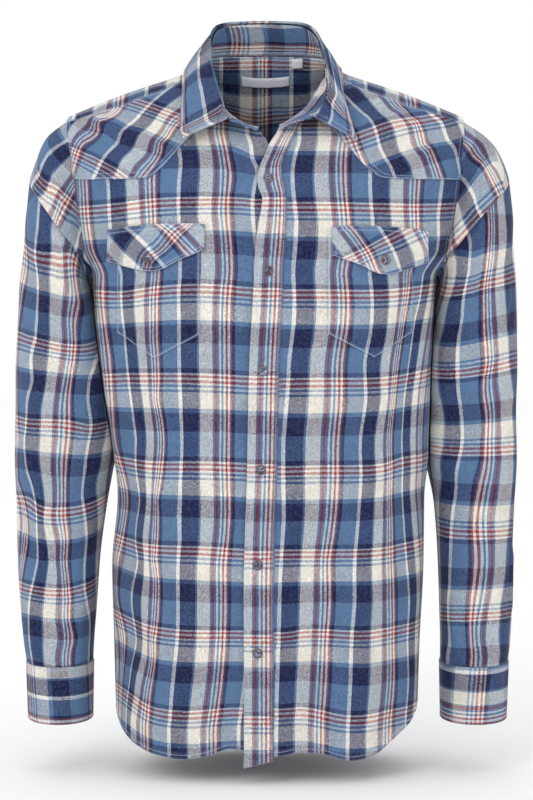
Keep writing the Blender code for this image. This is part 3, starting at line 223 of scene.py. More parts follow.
# The collar's fold line, end to end by way of the back: the top of the stand
FOLD_LINE = table("phi x y z", """
    -1.5 -8 -87 -34; -6 -23 -88.5 -27.5; -10.5 -37 -84 -22.5; -19 -42.5 -67 -5; -33 -49 -44 17;
    -60 -55 -18 41; -90 -56 10 59; -125 -50 41 78.5; -150 -30 57 85.5; 180 0 61 87; 150 30 57 85.5;
    125 49 41 77.5; 90 58.5 10 59; 54 63.5 -18 37; 26 65 -43 13; 15.5 61 -66 -5; 11 49 -82 -20.5;
    7.8 33 -87 -25; 4 15.5 -88.5 -32""")

# The collar's outer edge: place along the leaf from one point to the other
LEAF_EDGE = table("place x y z", """
    0 -83 -97 -46; 0.08 -86.6 -79 -31; 0.2 -86.2 -46 -1; 0.31 -84.5 -6 29; 0.38 -75 35 40; 0.44 -44 76 44;
    0.5 0 89 44; 0.56 44 76 44; 0.62 74 35 40; 0.69 80 -6 29; 0.8 83 -46 0; 0.92 88.8 -79 -26;
    1 95 -97 -49""")
LEAF_STARTS, LEAF_ENDS = 2, 16  # the fold line's rows where the leaf's ends are set
LEAF_REACHES = (0.40, 0.30)  # how much further along those rows its ends are drawn by the turned corners
LEAF_REACH_OVER = 0.1  # the share of its length at each end over which they are
LEAF_ROWS = 30
LEAF_SETTLES = (2.3, 0.9)  # from which row of its section it keeps off the body, and over how many
LEAF_CHARTED = 0.31  # the share of its length at each end that its charts are for
LEAF_PLAID_TURNS = (0.40, 0.20)  # where the plaid of one end starts to pass into the other's, and over what
# The leaf's section: share of the way from the fold to the edge, then metres outward and up
LEAF_SECTION = table("way out rise", """
    0 0.6 0; 0 3 1.4; 0.12 2.8 0; 0.36 3 0; 0.68 2.6 0; 1 0 0""")

# Front yoke's lower edge, from the armhole in to the neckline, as seen from the front
YOKE_EDGE = table("reach x z", """
    0 201 -88; 0.4 160 -88.5; 0.6 122.5 -88; 0.7 107 -78; 0.85 81 -48; 1 48 -15""")

# Back yoke's lower edge, from the armhole in to the point at the centre back
BACK_YOKE_EDGE = table("reach x z", """
    0 199 -98; 0.4 125 -95.5; 0.65 75 -99; 0.85 32 -116; 1 0 -140""")
YOKE_OVERLAP = 0.014  # how far the back reaches up under the yoke

# Pocket flaps and pockets, as seen from the front: along runs from the centre side to the armhole side
FLAP = table("along right_x right_top right_bottom left_x left_top left_bottom", """
    0 61 -135.5 -162 69 -138.5 -168; 0.25 85 -134.5 -172 94 -137 -176;
    0.5 113 -135.5 -184 122 -137.5 -187; 0.75 139 -137.5 -179 146 -139 -181;
    1 162 -140.5 -172 169 -142.5 -172""")
POCKET = table("along right_x right_top right_bottom left_x left_top left_bottom", """
    0 66.5 -144 -249 65 -146 -248; 0.25 89 -144 -261 88 -146 -260; 0.5 113 -144 -274 113 -146 -273;
    0.75 133 -144 -261 133 -146 -261; 1 152 -145 -248 153 -147 -248""")
FLAP_SNAPS = {WEARERS_RIGHT: (0.1180, -0.1700), WEARERS_LEFT: (0.1230, -0.1715)}
FLAP_PUFF = 0.0022  # how far the middle of a flap's lower edge stands out
PUFF_POWER = 0.7  # the lower, the fuller to the sides

# Labels inside the back of the neck: centre, half-size
MAIN_LABEL = {"x": 0.0010, "z": 0.0235, "half_width": 0.0262, "half_height": 0.0050}
SIZE_LABEL = {"x": 0.0358, "z": 0.0420, "half_width": 0.0056, "half_height": 0.0052}

# The cover of each sleeve's slit: its upper end narrows to a share of the width over a few rows
SLEEVE_PLACKET = {
    "turn": -62.0, "half_width": 0.0120, "from_drop": 0.77, "to_drop": 0.985,
    "point_share": 0.25, "point_rows": 6,
}


# ---------------------------------------------------------------- where the plaid runs

# The camera, and how far ahead of it and below it the middle of its view lies
CAMERA_SPOT = np.array([0.00215, -2.8, -0.1725])
CAMERA_AHEAD, CAMERA_DROP = 2.8, 0.15
PLATE_SCALE, TINY = 100, 1e-9
MISS = 5.0  # mm: a charted point that is farther than this from a panel isn't on it
PART_STEP = 0.7  # how much of a grid step a spot may lie off the nearest point
FLATTEST = 0.2  # below this share of the greater slope, a panel that is seen edge on isn't followed that way
PLATE_SLACK = 0.0004  # how loosely the plaid is drawn through the charted points
VIEW_DISTANCE = math.hypot(CAMERA_AHEAD, CAMERA_DROP)
CAMERA_LENS, CAMERA_SENSOR = 117.38, 36.0  # mm
FLOOR = -0.72

# One repeat of the plaid: its stripes and their widths in mm
WARP = {
    "yarn": "white navy blue cream blue red blue white blue white red white red navy blue".split(),
    "mm": (3.9, 17.2, 2.2, 13.7, 2.3, 2.4, 2.3, 2.2, 2.2, 2.3, 2.2, 2.2, 1.9, 3.5, 17.0),
}
WEFT = {
    "yarn": "white red white red white blue white blue cream blue navy blue navy".split(),
    "mm": (2.0, 2.4, 2.3, 2.8, 2.2, 2.3, 2.4, 2.6, 16.1, 4.5, 19.0, 25.1, 5.1),
}

# Lines of the repeat that the charts follow, in mm from its start
WARP_LINES = {"white": 1.95, "cream": 23.3, "cream_end": 37.0, "red_1": 40.5, "red_2": 51.8, "red_3": 56.05}
WEFT_LINES = {
    "white": 0.0, "red_1": 3.2, "red_2": 8.1, "cream": 18.9, "blue": 35.1, "navy": 39.6, "wide_blue": 58.6,
}

# The charts of the warp and the weft on each piece: a line, the number of its repeat, and points on it as
# they are seen from the camera, in mm from the middle of its view, across and up
CHARTS = {
    "right_front": ("""
    white 0: -92.5 258, -94.5 199, -93 161, -93 140, -94.5 107.5, -94 86, -92.5 0, -93 -107.5,
    -93.5 -150.5, -96 -258, -104 -344; cream 0: -71.5 258, -70.5 161, -71 0, -71.5 -150.5, -74.5 -215,
    -78.5 -301, -83.5 -344; red_2 0: -41.5 236.5, -44 199, -40 145, -42.5 107.5, -43 0, -46.5 -172,
    -47.5 -258, -56 -344; red_3 0: -37 236.5, -39 199, -35.5 145, -38 107.5, -38.5 0, -39 -64.5, -42 -172,
    -43.5 -258, -46.5 -301, -52 -344; white -1: -170 226, -153 75, -140.5 -43, -136.5 -107.5, -138.5 -172,
    -140 -258, -147 -301, -151 -344; cream -1: -150.5 226, -142 107.5, -133 0, -130 -64.5, -133 -150.5,
    -134.5 -215, -140.5 -301, -146 -344; red_2 -1: -123.5 236.5, -120 64.5, -118 0, -120.5 -172,
    -122 -258, -129.5 -344; red_3 -1: -119 236.5, -116 64.5, -115 0, -116 -107.5, -116.5 -172, -118 -258,
    -126 -344; red_2 -2: -179 118, -171.5 43, -163.5 -43; red_3 -2: -173.5 118, -166.5 43, -161.5 -43;
    white 1: -21 288, -17 276, -15.3 261, -10 248.5, -12.4 233.8, -14.7 220, -15 201.6, -13 180,
    -11.3 166.6, -29 -344; white -1: -165 161, -167.5 180.5; red_3 -2: -158.5 -172, -159.5 -215,
    -168 -301""", """
    white 0: -65 309.5; white 1: -65 218.5, -152 213, -125 216.5, -23 218, -173.5 210.5; white 2: -65 125,
    -152 117.5, -125 121.5, -23 122, -179 118; white 3: -65 28.5, -152 29, -23 26, -171.5 28;
    white 4: -65 -66, -152 -61.5, -125 -65.5, -23 -68, -160.5 -60; white 5: -65 -157.5, -152 -147.5,
    -125 -155, -23 -160.5; white 6: -87.5 -247, -152 -231, -125 -242, -34 -248; white 7: -87.5 -334,
    -152 -311, -125 -328.5, -34 -331; blue 0: -66 274, -37 274.5, -12.5 264.5"""),
    "left_front": ("""
    white 0: 35.5 279.5, 29.5 258, 28 247, 32 193.5, 29.5 150.5, 29.5 86, 23.5 21.5, 18.5 -129, 11 -344;
    cream 0: 55.5 279.5, 51.5 247, 55.5 193.5, 50.5 64.5, 47 43, 45.5 0, 42 -43, 41.5 -86, 36 -215,
    30.5 -344; red_1 0: 54.5 -172, 52 -258, 48 -344; red_3 0: 69.5 -172, 67 -258, 62.5 -344;
    white 1: 111.5 226, 114 193.5, 113.5 107.5, 106 43, 101 -43, 95 -172, 88 -344; cream 1: 133 226,
    134.5 193.5, 132 107.5, 128 64.5, 123.5 43, 123 0, 118 -86, 115 -150.5, 114.5 -215, 111.5 -301,
    108 -344; red_1 1: 126 -172, 126.5 -215, 122.5 -344; red_3 1: 136.5 -172, 138 -215, 135 -344;
    cream 2: 208.5 230, 207 222; white 2: 189 236, 184.5 193.5, 178 150.5, 164.5 107.5, 159.5 86, 148 0,
    145.5 -43, 146 -86, 153.5 -215, 151.5 -258, 152.5 -301, 149.5 -344""", """
    white 1: 63 213, 165 211, 25.5 213; white 2: 63 119, 127.5 119, 165 123, 25.5 119; white 3: 63 24,
    127.5 25, 165 31.5, 25.5 23.5; white 4: 63 -70, 127.5 -67.5, 165 -58.5, 143.5 -62, 25.5 -71;
    white 5: 63 -160.5, 127.5 -158, 165 -149, 143.5 -154.5, 25.5 -160.5; white 6: 25.5 -249, 36 -247,
    95 -248, 122 -246, 159.5 -238; white 7: 25.5 -331, 36 -330, 79 -338, 95 -339, 122 -335.5,
    159.5 -325.5; blue 0: 37 268, 69 268"""),
    "right_yoke": ("""
    white 0: -111 330.5, -122.5 321, -144 298.5, -153.5 291.5, -158 285, -160 277, -168 269, -184.5 242;
    cream 0: -99.5 321.5, -117 305.5, -125 294.5, -136 286, -144 269, -153.5 260.5, -163 242;
    red_1 0: -94.5 310.5, -102.5 305.5, -113.5 289, -122.5 279.5, -125 269, -129.5 260.5, -138.5 252.5,
    -144 242; red_2 0: -92 301, -109 281, -114.5 271.5, -116.5 263.5, -135 239; red_3 0: -95.5 295.5,
    -102.5 285, -110.5 277, -116 258, -129.5 239; red_3 -1: -153.5 317, -157.5 310.5, -167 303.5,
    -178 300, -179 290, -196.5 274, -200.5 266; red_2 -1: -182.5 298.5, -183 290, -192.5 281, -206 260.5;
    red_1 -1: -172.5 309, -188.5 302.5, -192 294.5, -200.5 287.5, -208.5 277""", """
    white 0: -136 322.5, -99.5 310.5; white 1: -199 267.5, -160 248.5, -146.5 239; navy 0: -178 299.5,
    -165.5 300, -152 292, -135 288.5, -125 284; wide_blue 0: -174.5 286, -162 277.5, -127.5 266.5"""),
    "left_yoke": ("""
    white 0: 103.5 308.5, 110 303.5, 115.5 294.5, 122 271.5, 133 251.5, 138 235.5; cream 0: 120.5 310.5,
    128.5 303.5, 138 287.5, 141 275.5, 144.5 266, 151.5 258, 158.5 236.5; red_1 0: 128.5 320, 135.5 312,
    143.5 307.5, 150 300, 155.5 289, 157.5 278.5, 169 259.5, 176 235.5; red_2 0: 143.5 314.5, 160.5 300,
    167.5 279.5, 174.5 270, 178.5 260.5, 186.5 235.5; red_3 0: 157 303.5, 165 297, 169 287.5, 171.5 275.5,
    178.5 269, 190.5 235.5; white 1: 178.5 305.5, 186.5 300, 194.5 279.5, 201.5 271.5, 206.5 252.5""", """
    white 0: 98 288, 133 300.5, 165 305.5; blue 0: 110 254, 200 279.5; navy 0: 111.5 250, 138 259.5,
    197.5 275; wide_blue 0: 189 257, 206.5 260.5"""),
    "right_flap": ("""
    white 0: -151.5 186.5, -109 142; red_3 -1: -114.5 185, -85.5 151.5; red_2 -1: -113 187, -79 153.5;
    red_1 -1: -99.5 190.5, -71.5 162.5; cream 0: -169.5 176.5, -137 143; red_1 0: -172.5 156,
    -163 145.5""", """
    white 0: -125 140.5, -115.5 155, -101.5 166.5, -82 187; red_2 0: -130.5 142, -117.5 159, -86.5 189;
    cream 0: -140.5 149.5, -129.5 165.5, -106 189; blue 0: -150 162.5, -136 179.5"""),
    "left_flap": ("""
    red_1 0: 77 186, 103.5 146; red_2 0: 86.5 188, 106 162.5, 117.5 138.5; red_3 0: 92 188.5, 110 163.5,
    123 137; white 1: 120 188.5, 144.5 138.5; cream 1: 144.5 183, 159.5 147.5; red_1 1: 159.5 184,
    166 171, 171.5 150.5""", """
    white 0: 81 153, 108 165.5, 145.5 186; cream 0: 120 153.5, 137 159, 163 171; blue 0: 144.5 143,
    171.5 153.5"""),
    "right_sleeve": ("""
    white 0: -245 209.5, -248.5 150.5, -246 129, -247 86, -249 64.5, -253.5 43, -252 21.5, -257.5 0,
    -260.5 -43, -259.5 -64.5, -249 -107.5, -247 -129, -255 -215, -255 -258, -253 -274;
    cream 0: -231.5 150.5, -234.5 43, -243 -43, -243.5 -64.5, -239.5 -129, -234 -172, -239.5 -274;
    red_1 0: -216.5 150.5, -218 86, -223 21.5, -228.5 -86, -224.5 -172, -221 -258, -223.5 -274;
    red_3 0: -202 150.5, -202.5 118, -203.5 86, -210.5 0, -215 -86, -212.5 -150.5, -213.5 -172, -210 -215,
    -210.5 -236.5, -207 -258, -210 -274; white 1: -184 64.5, -190.5 21.5, -192 0, -189 -21.5,
    -194.5 -64.5, -193.5 -150.5, -193.5 -215, -190 -236.5, -191 -274; cream 1: -173.5 -43, -177 -64.5,
    -183.5 -172; red_3 -1: -257 215, -257 152.5, -265.5 79.5, -266.5 -43, -267 -86""", """
    white 0: -259.5 170.5, -254 163.5, -238 159, -206 154; white 1: -265 73.5, -232.5 63.5, -189.5 61.5;
    white 2: -265 -17.5, -254 -20, -211 -22, -189.5 -26, -179 -24.5; white 3: -265 -102.5, -254 -105,
    -243.5 -113, -179 -105.5; white 4: -265 -194.5, -214.5 -202, -206 -200, -182 -189.5;
    blue 4: -254 -230.5, -222 -235, -200.5 -233.5; wide_blue 4: -249 -254, -216.5 -258"""),
    "right_sleeve_top": ("""
    white 0: -212.5 280.5, -227.5 270.5, -235 262, -240.5 251, -242.5 242, -251 231; cream 0: -210.5 262,
    -219.5 254, -242.5 216; cream_end 0: -207.5 246.5, -215 237.5, -233.5 203.5; red_1 0: -206.5 244,
    -220.5 224, -232.5 200.5; red_2 0: -206 229.5, -212 220.5, -225 192.5; red_3 0: -205 226, -224 189.5;
    white 1: -198 183.5, -207.5 164.5; red_3 -1: -217.5 296, -243.5 270, -249 258""", """
    white 0: -247 258, -221.5 226, -201.5 208.5; cream 0: -251 238.5, -234 213, -222 200, -202.5 184;
    blue 0: -223 186, -208 167.5, -200.5 162.5; navy -1: -230.5 287, -212.5 269; wide_blue -1: -232.5 269,
    -225 258, -213.5 247"""),
    "left_sleeve": ("""
    white 0: 218.5 172, 215.5 129, 210 86, 207.5 0, 210.5 -43, 202.5 -107.5, 195.5 -236.5, 197 -258,
    194.5 -274; red_3 -1: 233.5 129, 234.5 43, 232.5 0, 235 -21.5, 234 -43, 228.5 -86, 222.5 -172,
    218 -258, 219 -274; red_1 -1: 244 129, 246.5 64.5, 245.5 21.5, 249 -21.5, 249 -43, 241 -129,
    237.5 -215, 233 -258, 235 -274; cream -1: 256.5 107.5, 260.5 43, 265 0, 265.5 -43, 260.5 -129,
    255.5 -193.5, 252 -215, 249.5 -258, 250.5 -274; cream 0: 186.5 64.5, 187 0, 190.5 -21.5, 189.5 -43,
    186.5 -64.5, 185 -107.5; white -1: 264 209.5, 265.5 148.5""", """
    white 0: 186.5 113.5, 219 114.5, 267 127.5; white -1: 181 23.5, 224 25, 267 34; white -2: 181 -58,
    267 -58.5; white -3: 186.5 -146, 262 -148; white -4: 186.5 -236, 229.5 -237.5, 251 -236;
    cream 0: 186.5 133.5, 208 132, 262 146; blue 0: 202.5 153.5, 224 152.5, 262 163.5;
    wide_blue -5: 192 -264.5, 219 -266.5, 240.5 -263.5"""),
    "left_sleeve_top": ("""
    cream -1: 215 299, 231.5 288, 242.5 277.5, 252 262.5, 258 248.5, 260.5 234.5; cream_end -1: 211 294,
    241 254, 252 229.5; red_1 -1: 211 290, 243.5 248, 252.5 222.5; red_2 -1: 210 278.5, 238 245, 248 219;
    red_3 -1: 211 275, 235.5 244, 245.5 219; white 0: 208 240.5, 213.5 235.5, 219 226.5, 225.5 208,
    231.5 197.5; cream 0: 209.5 202, 219 178.5; cream_end 0: 199 194.5, 205 172""", """
    white 0: 194 148.5, 235.5 198.5, 252 214.5; cream 0: 196 174, 211 196.5, 255.5 234.5; blue 0: 209 216,
    221 231, 248 256"""),
    "right_leaf": ("""
    white 0: -73 365.5, -70 333, -65.5 305; cream 0: -58 363.5, -50.5 345.5, -41.5 327;
    red_3 -1: -88.5 349.5, -89.5 322.5, -89.5 295.5""", """
    white 0: -57.5 387, -64 384; cream 0: -59.5 376, -66 374; navy 0: -57.5 360, -68 358;
    wide_blue 0: -53 346, -71.5 346; white 1: -89 294.5, -76 301, -63 308.5, -49 318.5"""),
    "left_leaf": ("""
    white 0: 74.5 337, 71 318, 67 297; red_3 -1: 82 330, 91 284; cream 0: 64 333, 56 310""", """
    red_2 1: 58.5 391.5, 63 389.5; wide_blue 0: 64.5 372; navy 0: 68.6 354; red_2 0: 67 332, 83 308"""),
    "stand": ("""
    white 1: -20 406.5, 30 406.5; red_3 0: -20 380.5, 30 380.5; red_1 0: -20 365.5, 30 365.5""", """
    white 0: -39.5 370, -39.5 397; cream 0: -20 368, -20 400; blue 0: -5.5 368, -5.5 400; navy 0: 0.5 368,
    0.5 400; wide_blue 0: 17.5 368, 17.5 400; white 1: 44.5 370, 44.5 397"""),
    "back_yoke": ("""
    white 0: -49 349.5, -49 328; cream 0: -28.5 349.5, -28.5 322.5; red_1 0: -12.5 349.5, -12.5 311.5;
    red_3 0: 1.5 349.5, 1.5 311.5; white 1: 27 349.5, 27 322.5""", """
    white 0: -40 354.5, -15 354.5, 14.5 354.5, 44 354.5; wide_blue -1: -40 339.5, -15 339.5, 14.5 339.5,
    44 339.5; navy -1: -38 331, 14.5 331, 40 331; cream -1: -28.5 315, 3 315, 25 315; red_2 -1: -9 303"""),
}
BAND_CHART = """
    white 1: -6 218, 9 218; white 2: -12 120.5, 8 120.5; white 3: -12 26, 8 26; white 4: -13 -69, 6 -69;
    white 5: -14 -162.5, 5 -162.5; white 6: -14 -252.5, 4 -252.5; white 7: -14 -340, 4 -340"""
CUFF_MARKS = {  # by side: a weft line, its repeat, which way the pattern runs round, and where it is seen
    WEARERS_RIGHT: ("navy", 0, 1, (-231.3, -308.5)),
    WEARERS_LEFT: ("red_2", 0, 1, (228, -305)),
}
CUFF_PLAID_TOP = {WEARERS_RIGHT: 0.0352, WEARERS_LEFT: -0.0037}  # the warp's place at a cuff's top edge
CUFF_PLAID_DOWN = {WEARERS_RIGHT: -1, WEARERS_LEFT: 1}  # and which way it runs from there
BACK_PLAID = 0.050  # the warp's place down the middle of the back
BAND_PLAID = 0.0287  # the warp's place at the band's free edge


# ---------------------------------------------------------------- numbers along tables


def along(knots, values, at):
    """A smooth curve through the values at the knots, which never swings past them."""
    at = np.clip(at, knots[0], knots[-1])
    step = np.diff(knots)
    rise = np.diff(values) / step
    slope = np.concatenate([rise[:1], np.zeros(len(rise) - 1), rise[-1:]])
    turning = rise[:-1] * rise[1:] > 0
    pair = np.where(turning, rise[:-1] + rise[1:], 1.0)
    slope[1:-1] = np.where(turning, 2.0 * rise[:-1] * rise[1:] / pair, 0.0)
    i = np.clip(np.searchsorted(knots, at) - 1, 0, len(step) - 1)
    t = (at - knots[i]) / step[i]
    return (
        values[i] * (1 + 2 * t) * (1 - t) ** 2
        + slope[i] * step[i] * t * (1 - t) ** 2
        + values[i + 1] * t * t * (3 - 2 * t)
        + slope[i + 1] * step[i] * t * t * (t - 1)
    )


def look(rows, key, column, at):
    return along(rows[key], rows[column], np.asarray(at, float))


def pairs(first, second):
    return np.stack(np.broadcast_arrays(np.asarray(first, float), np.asarray(second, float)), -1)


def soft_step(value):
    value = np.clip(value, 0.0, 1.0)
    return value * value * (3 - 2 * value)


def unit(vector):
    return vector / np.maximum(np.linalg.norm(vector, axis=-1, keepdims=True), 1e-12)


def running_length(points):
    steps = np.linalg.norm(np.diff(points, axis=0), axis=1)
    return np.concatenate([[0], np.cumsum(steps)])


def straight(at, knots, points):
    """Points on straight lines between those at the knots."""
    return np.stack([np.interp(at, knots, column) for column in points.T], -1)


def even(points, shares, place):
    """The same line with its points at these shares of its length on the surface that place() puts it on."""
    run = running_length(place(points))
    return straight(np.asarray(shares) * run[-1], run, points)


def patch(bottom, top, left, right, u, v):
    """Fills four edges with a grid of points: rows go up, and columns go from left to right."""
    u, v = u[None, :, None], v[:, None, None]
    bottom, top, left, right = bottom[None], top[None], left[:, None], right[:, None]
    low = (1 - u) * bottom[:, :1] + u * bottom[:, -1:]
    high = (1 - u) * top[:, :1] + u * top[:, -1:]
    return (1 - v) * (bottom - low) + v * (top - high) + (1 - u) * left + u * right


EDGE_STEPS = np.array([0.0, 0.0006, 0.0014, 0.0026, 0.0042])
PITCH, FINE_PITCH = 0.0034, 0.0025
# Rough lengths of each panel, up and across, over which the points of its grid are spaced
SPANS = {
    "front": (0.66, 0.27), "front_yoke": (0.075, 0.17), "pocket": (0.11, 0.09), "pocket_flap": (0.04, 0.09),
    "back": (0.6, 0.55),
}
BAND_SPAN, BACK_YOKE_SPAN, STAND_SPAN, LEAF_SPAN, CUFF_SPAN = 0.67, 0.16, 0.035, 0.42, 0.26


def spaced(length, pitch=PITCH):
    """Shares of a length: close together at both ends, where cloth is turned under, and even between them."""
    inner = length - 2 * EDGE_STEPS[-1]
    middle = EDGE_STEPS[-1] + np.linspace(0, inner, max(2, round(inner / pitch) + 1))
    return np.concatenate([EDGE_STEPS[:-1], middle, length - EDGE_STEPS[:-1][::-1]]) / length


FOLD_FALLS = 1.2  # how fast a fold falls off to the sides
FOLD_END_RATE, FOLD_END_START = 4, 0.35  # it fades out over a quarter of its length, partly beyond its ends


def fold_height(across, down, folds, metres_across, metres_down=1.0):
    """The folds' height at each point: full on a fold's line, and fading out beside it and at its ends."""
    total = np.zeros(np.broadcast(across, down).shape)
    for from_a, from_d, to_a, to_d, height, spread in zip(*folds.values()):
        way_a, way_d = (to_a - from_a) * metres_across, (to_d - from_d) * metres_down
        gap_a, gap_d = (across - from_a) * metres_across, (down - from_d) * metres_down
        place = (gap_a * way_a + gap_d * way_d) / (way_a**2 + way_d**2)
        held = np.clip(place, 0, 1)
        distance = np.hypot(gap_a - held * way_a, gap_d - held * way_d) / spread
        start, end = (soft_step(part * FOLD_END_RATE + FOLD_END_START) for part in (place, 1 - place))
        total += height * np.exp(-FOLD_FALLS * distance**2) * (start * end)
    return total


# ---------------------------------------------------------------- the torso's surface


def half_width(z, x):
    """Half-width at height z, on the side that x lies on."""
    return np.where(np.asarray(x) < 0, look(TORSO, "z", "right", z), look(TORSO, "z", "left", z))


def depth(z, y):
    return np.where(np.asarray(y) < 0, look(TORSO, "z", "front", z), look(TORSO, "z", "back", z))


def smooth_torso(phi, z):
    phi, z = np.broadcast_arrays(np.asarray(phi, float), np.asarray(z, float))
    across, facing = np.sin(np.radians(phi)), -np.sign(np.cos(np.radians(phi)))
    inside = np.clip(1 - np.abs(across) ** SECTION_POWER, 0, 1) ** (1 / SECTION_ROOT)
    return np.stack([half_width(z, across) * across, facing * depth(z, facing) * inside, z], -1)


def on_torso(points):
    return smooth_torso(points[..., 0], points[..., 1])


def torso_normal(phi, z):
    turn, rise = 0.4, 0.0015
    around = smooth_torso(phi + turn, z) - smooth_torso(phi - turn, z)
    up = smooth_torso(phi, z + rise) - smooth_torso(phi, z - rise)
    return unit(np.cross(around, up))


def torso_folds(phi, z):
    wrapped = (np.asarray(phi, float) + 180.0) % 360.0 - 180.0
    return sum(fold_height(wrapped, z, folds, METRES_A_DEGREE) for folds in (TORSO_FOLDS, TORSO_CREASES))


def torso(phi, z, out=0.0):
    """Points on the cloth, moved out along its normal."""
    phi, z = np.broadcast_arrays(np.asarray(phi, float), np.asarray(z, float))
    return smooth_torso(phi, z) + torso_normal(phi, z) * (torso_folds(phi, z) + out)[..., None]


def front_phi(x, z):
    share = np.asarray(x) / half_width(z, x)
    return np.degrees(np.arcsin(np.clip(share, -1, 1)))


def hem_z(phi):
    return look(HEM, "phi", "z", phi)


def neck_z(phi):
    return look(NECKLINE, "phi", "z", phi)


def armhole_phi(z):
    return look(ARMHOLE, "z", "phi", z)


def keep_off(points, gap):
    """Moves points that are nearer to the torso than the gap straight out to it."""

    def level(p):
        x, y, z = p[..., 0], p[..., 1], p[..., 2]
        across, deep = np.abs(x) / half_width(z, x), np.abs(y) / depth(z, y)
        return across**SECTION_POWER + deep**SECTION_ROOT - 1

    step, rounds = 0.0002, 8
    nudge = step * np.eye(3)
    points = points.copy()
    for _ in range(rounds):
        x, y, z = points[..., 0], points[..., 1], points[..., 2]
        phi = np.degrees(np.arctan2(x / half_width(z, x), -y / depth(z, y)))
        slope = np.stack([level(points + n) - level(points - n) for n in nudge], -1) / (2 * step)
        steep = np.linalg.norm(slope, axis=-1)
        short = np.maximum(gap + torso_folds(phi, z) - level(points) / steep, 0.0)
        points += slope / steep[..., None] * short[..., None]
    return points


# ---------------------------------------------------------------- cloth


def add(name, data):
    """A new object in the scene."""
    made = bpy.data.objects.new(name, data)
    bpy.context.scene.collection.objects.link(made)
    return made


def add_mesh(name, corners, faces, finish):
    mesh = bpy.data.meshes.new(name)
    mesh.from_pydata(corners, [], faces)
    mesh.shade_smooth()
    mesh.materials.append(bpy.data.materials[finish])
    return add(name, mesh)


def cloth(name, grid, plaid, thickness=CLOTH, closed=False, flip=False, finish="flannel", wear=None):
    """A thin shell from a grid of points on its outer face, with the plaid's place and the wear at each."""
    rows, columns = grid.shape[:2]
    place = np.arange(rows * columns).reshape(rows, columns)
    if closed:
        place = np.concatenate([place, place[:, :1]], 1)
    across = place.shape[1]
    spot = np.arange(rows * across).reshape(rows, across)

    def cells(at):
        return np.stack([at[:-1, :-1], at[:-1, 1:], at[1:, 1:], at[1:, :-1]], -1).reshape(-1, 4)

    order = slice(None, None, -1) if flip else slice(None)
    quads, corners = cells(place)[:, order], cells(spot)[:, order]
    made = add_mesh(name, grid.reshape(-1, 3).tolist(), quads.tolist(), finish)
    uvs = made.data.uv_layers.new(name="plaid")
    uvs.data.foreach_set("uv", plaid.reshape(-1, 2)[corners.ravel()].ravel())
    if wear is not None:
        made.data.attributes.new("wear", "FLOAT", "POINT").data.foreach_set("value", wear.ravel())
    solidify = made.modifiers.new("wall", "SOLIDIFY")
    solidify.thickness = thickness
    solidify.offset = -1.0
    return made


def run_along(grid, axis):
    """Running length along the rows (axis 1) or up the columns (axis 0) of a grid."""
    steps = np.linalg.norm(np.diff(grid, axis=axis), axis=-1)
    start = np.zeros_like(steps[:1] if axis == 0 else steps[:, :1])
    return np.concatenate([start, np.cumsum(steps, axis)], axis)


def to_edges(grid):
    """How far each point is from the grid's left, right, bottom and top edges, along the cloth."""
    across, up = run_along(grid, 1), run_along(grid, 0)
    return {"l": across, "r": across[:, -1:] - across, "b": up, "t": up[-1:] - up}


def hump(distance, width):
    """1 at no distance, and falling off to both sides."""
    return np.exp(-((distance / width) ** 2))


TURN = 0.0011  # how wide the roll of a turned edge is, and the groove that stitches draw
EDGE_DROP, PAD = 0.0006, 0.0003
PAD_AT, PAD_WIDTH = 0.5, 0.35  # shares of the way from the edge to the stitches
SEAM_DIP_WIDTH = 0.0016
EDGE_PAD = 0.004  # how far the pad of a plain turned edge reaches in
RUBBED_EDGE, RUBBED_ROW, RUBBED_ROW_WIDTH = 0.48, 0.17, 0.0013


def sewn(distance, seam):
    """The section of a turned and stitched edge: rolled down, with a soft pad and a groove at its row."""
    roll = -EDGE_DROP * hump(distance, TURN)
    groove = -PAD * hump(distance - seam, TURN)
    pad = PAD * hump(distance - seam * PAD_AT, seam * PAD_WIDTH)
    return roll + groove + pad


def dipped(distance, depth):
    """The section beside a seam with another piece: drawn in towards it."""
    return -depth * hump(distance, SEAM_DIP_WIDTH)


def worn(grid, **seams):
    """How far the dye is rubbed off: along turned edges, and less along the stitches, by edge and inset."""
    away = to_edges(grid)
    return sum(
        RUBBED_EDGE * hump(away[edge], TURN) + RUBBED_ROW * hump(away[edge] - inset, RUBBED_ROW_WIDTH)
        for edge, inset in seams.items()
    )


THREAD = 0.00033  # half the width of the thread as it lies
STITCH = 0.0021  # its length
STITCH_PITCH = 0.0029
ROW_POINTS = 0.001  # how far apart the points of a row are


def inset_line(both, edge, inset, short, end):
    """Points and facings at a set distance from one edge of a panel, short of both ends of that edge."""
    away = to_edges(both[..., :3])[edge]
    if edge in "bt":
        both, away = both.swapaxes(0, 1), away.T
    if edge in "rt":
        both, away = both[:, ::-1], away[:, ::-1]
    line = np.array([straight(inset, gap, row) for row, gap in zip(both, away)])
    run = running_length(line[:, :3])
    return straight(np.arange(short, run[-1] - end, ROW_POINTS), run, line)


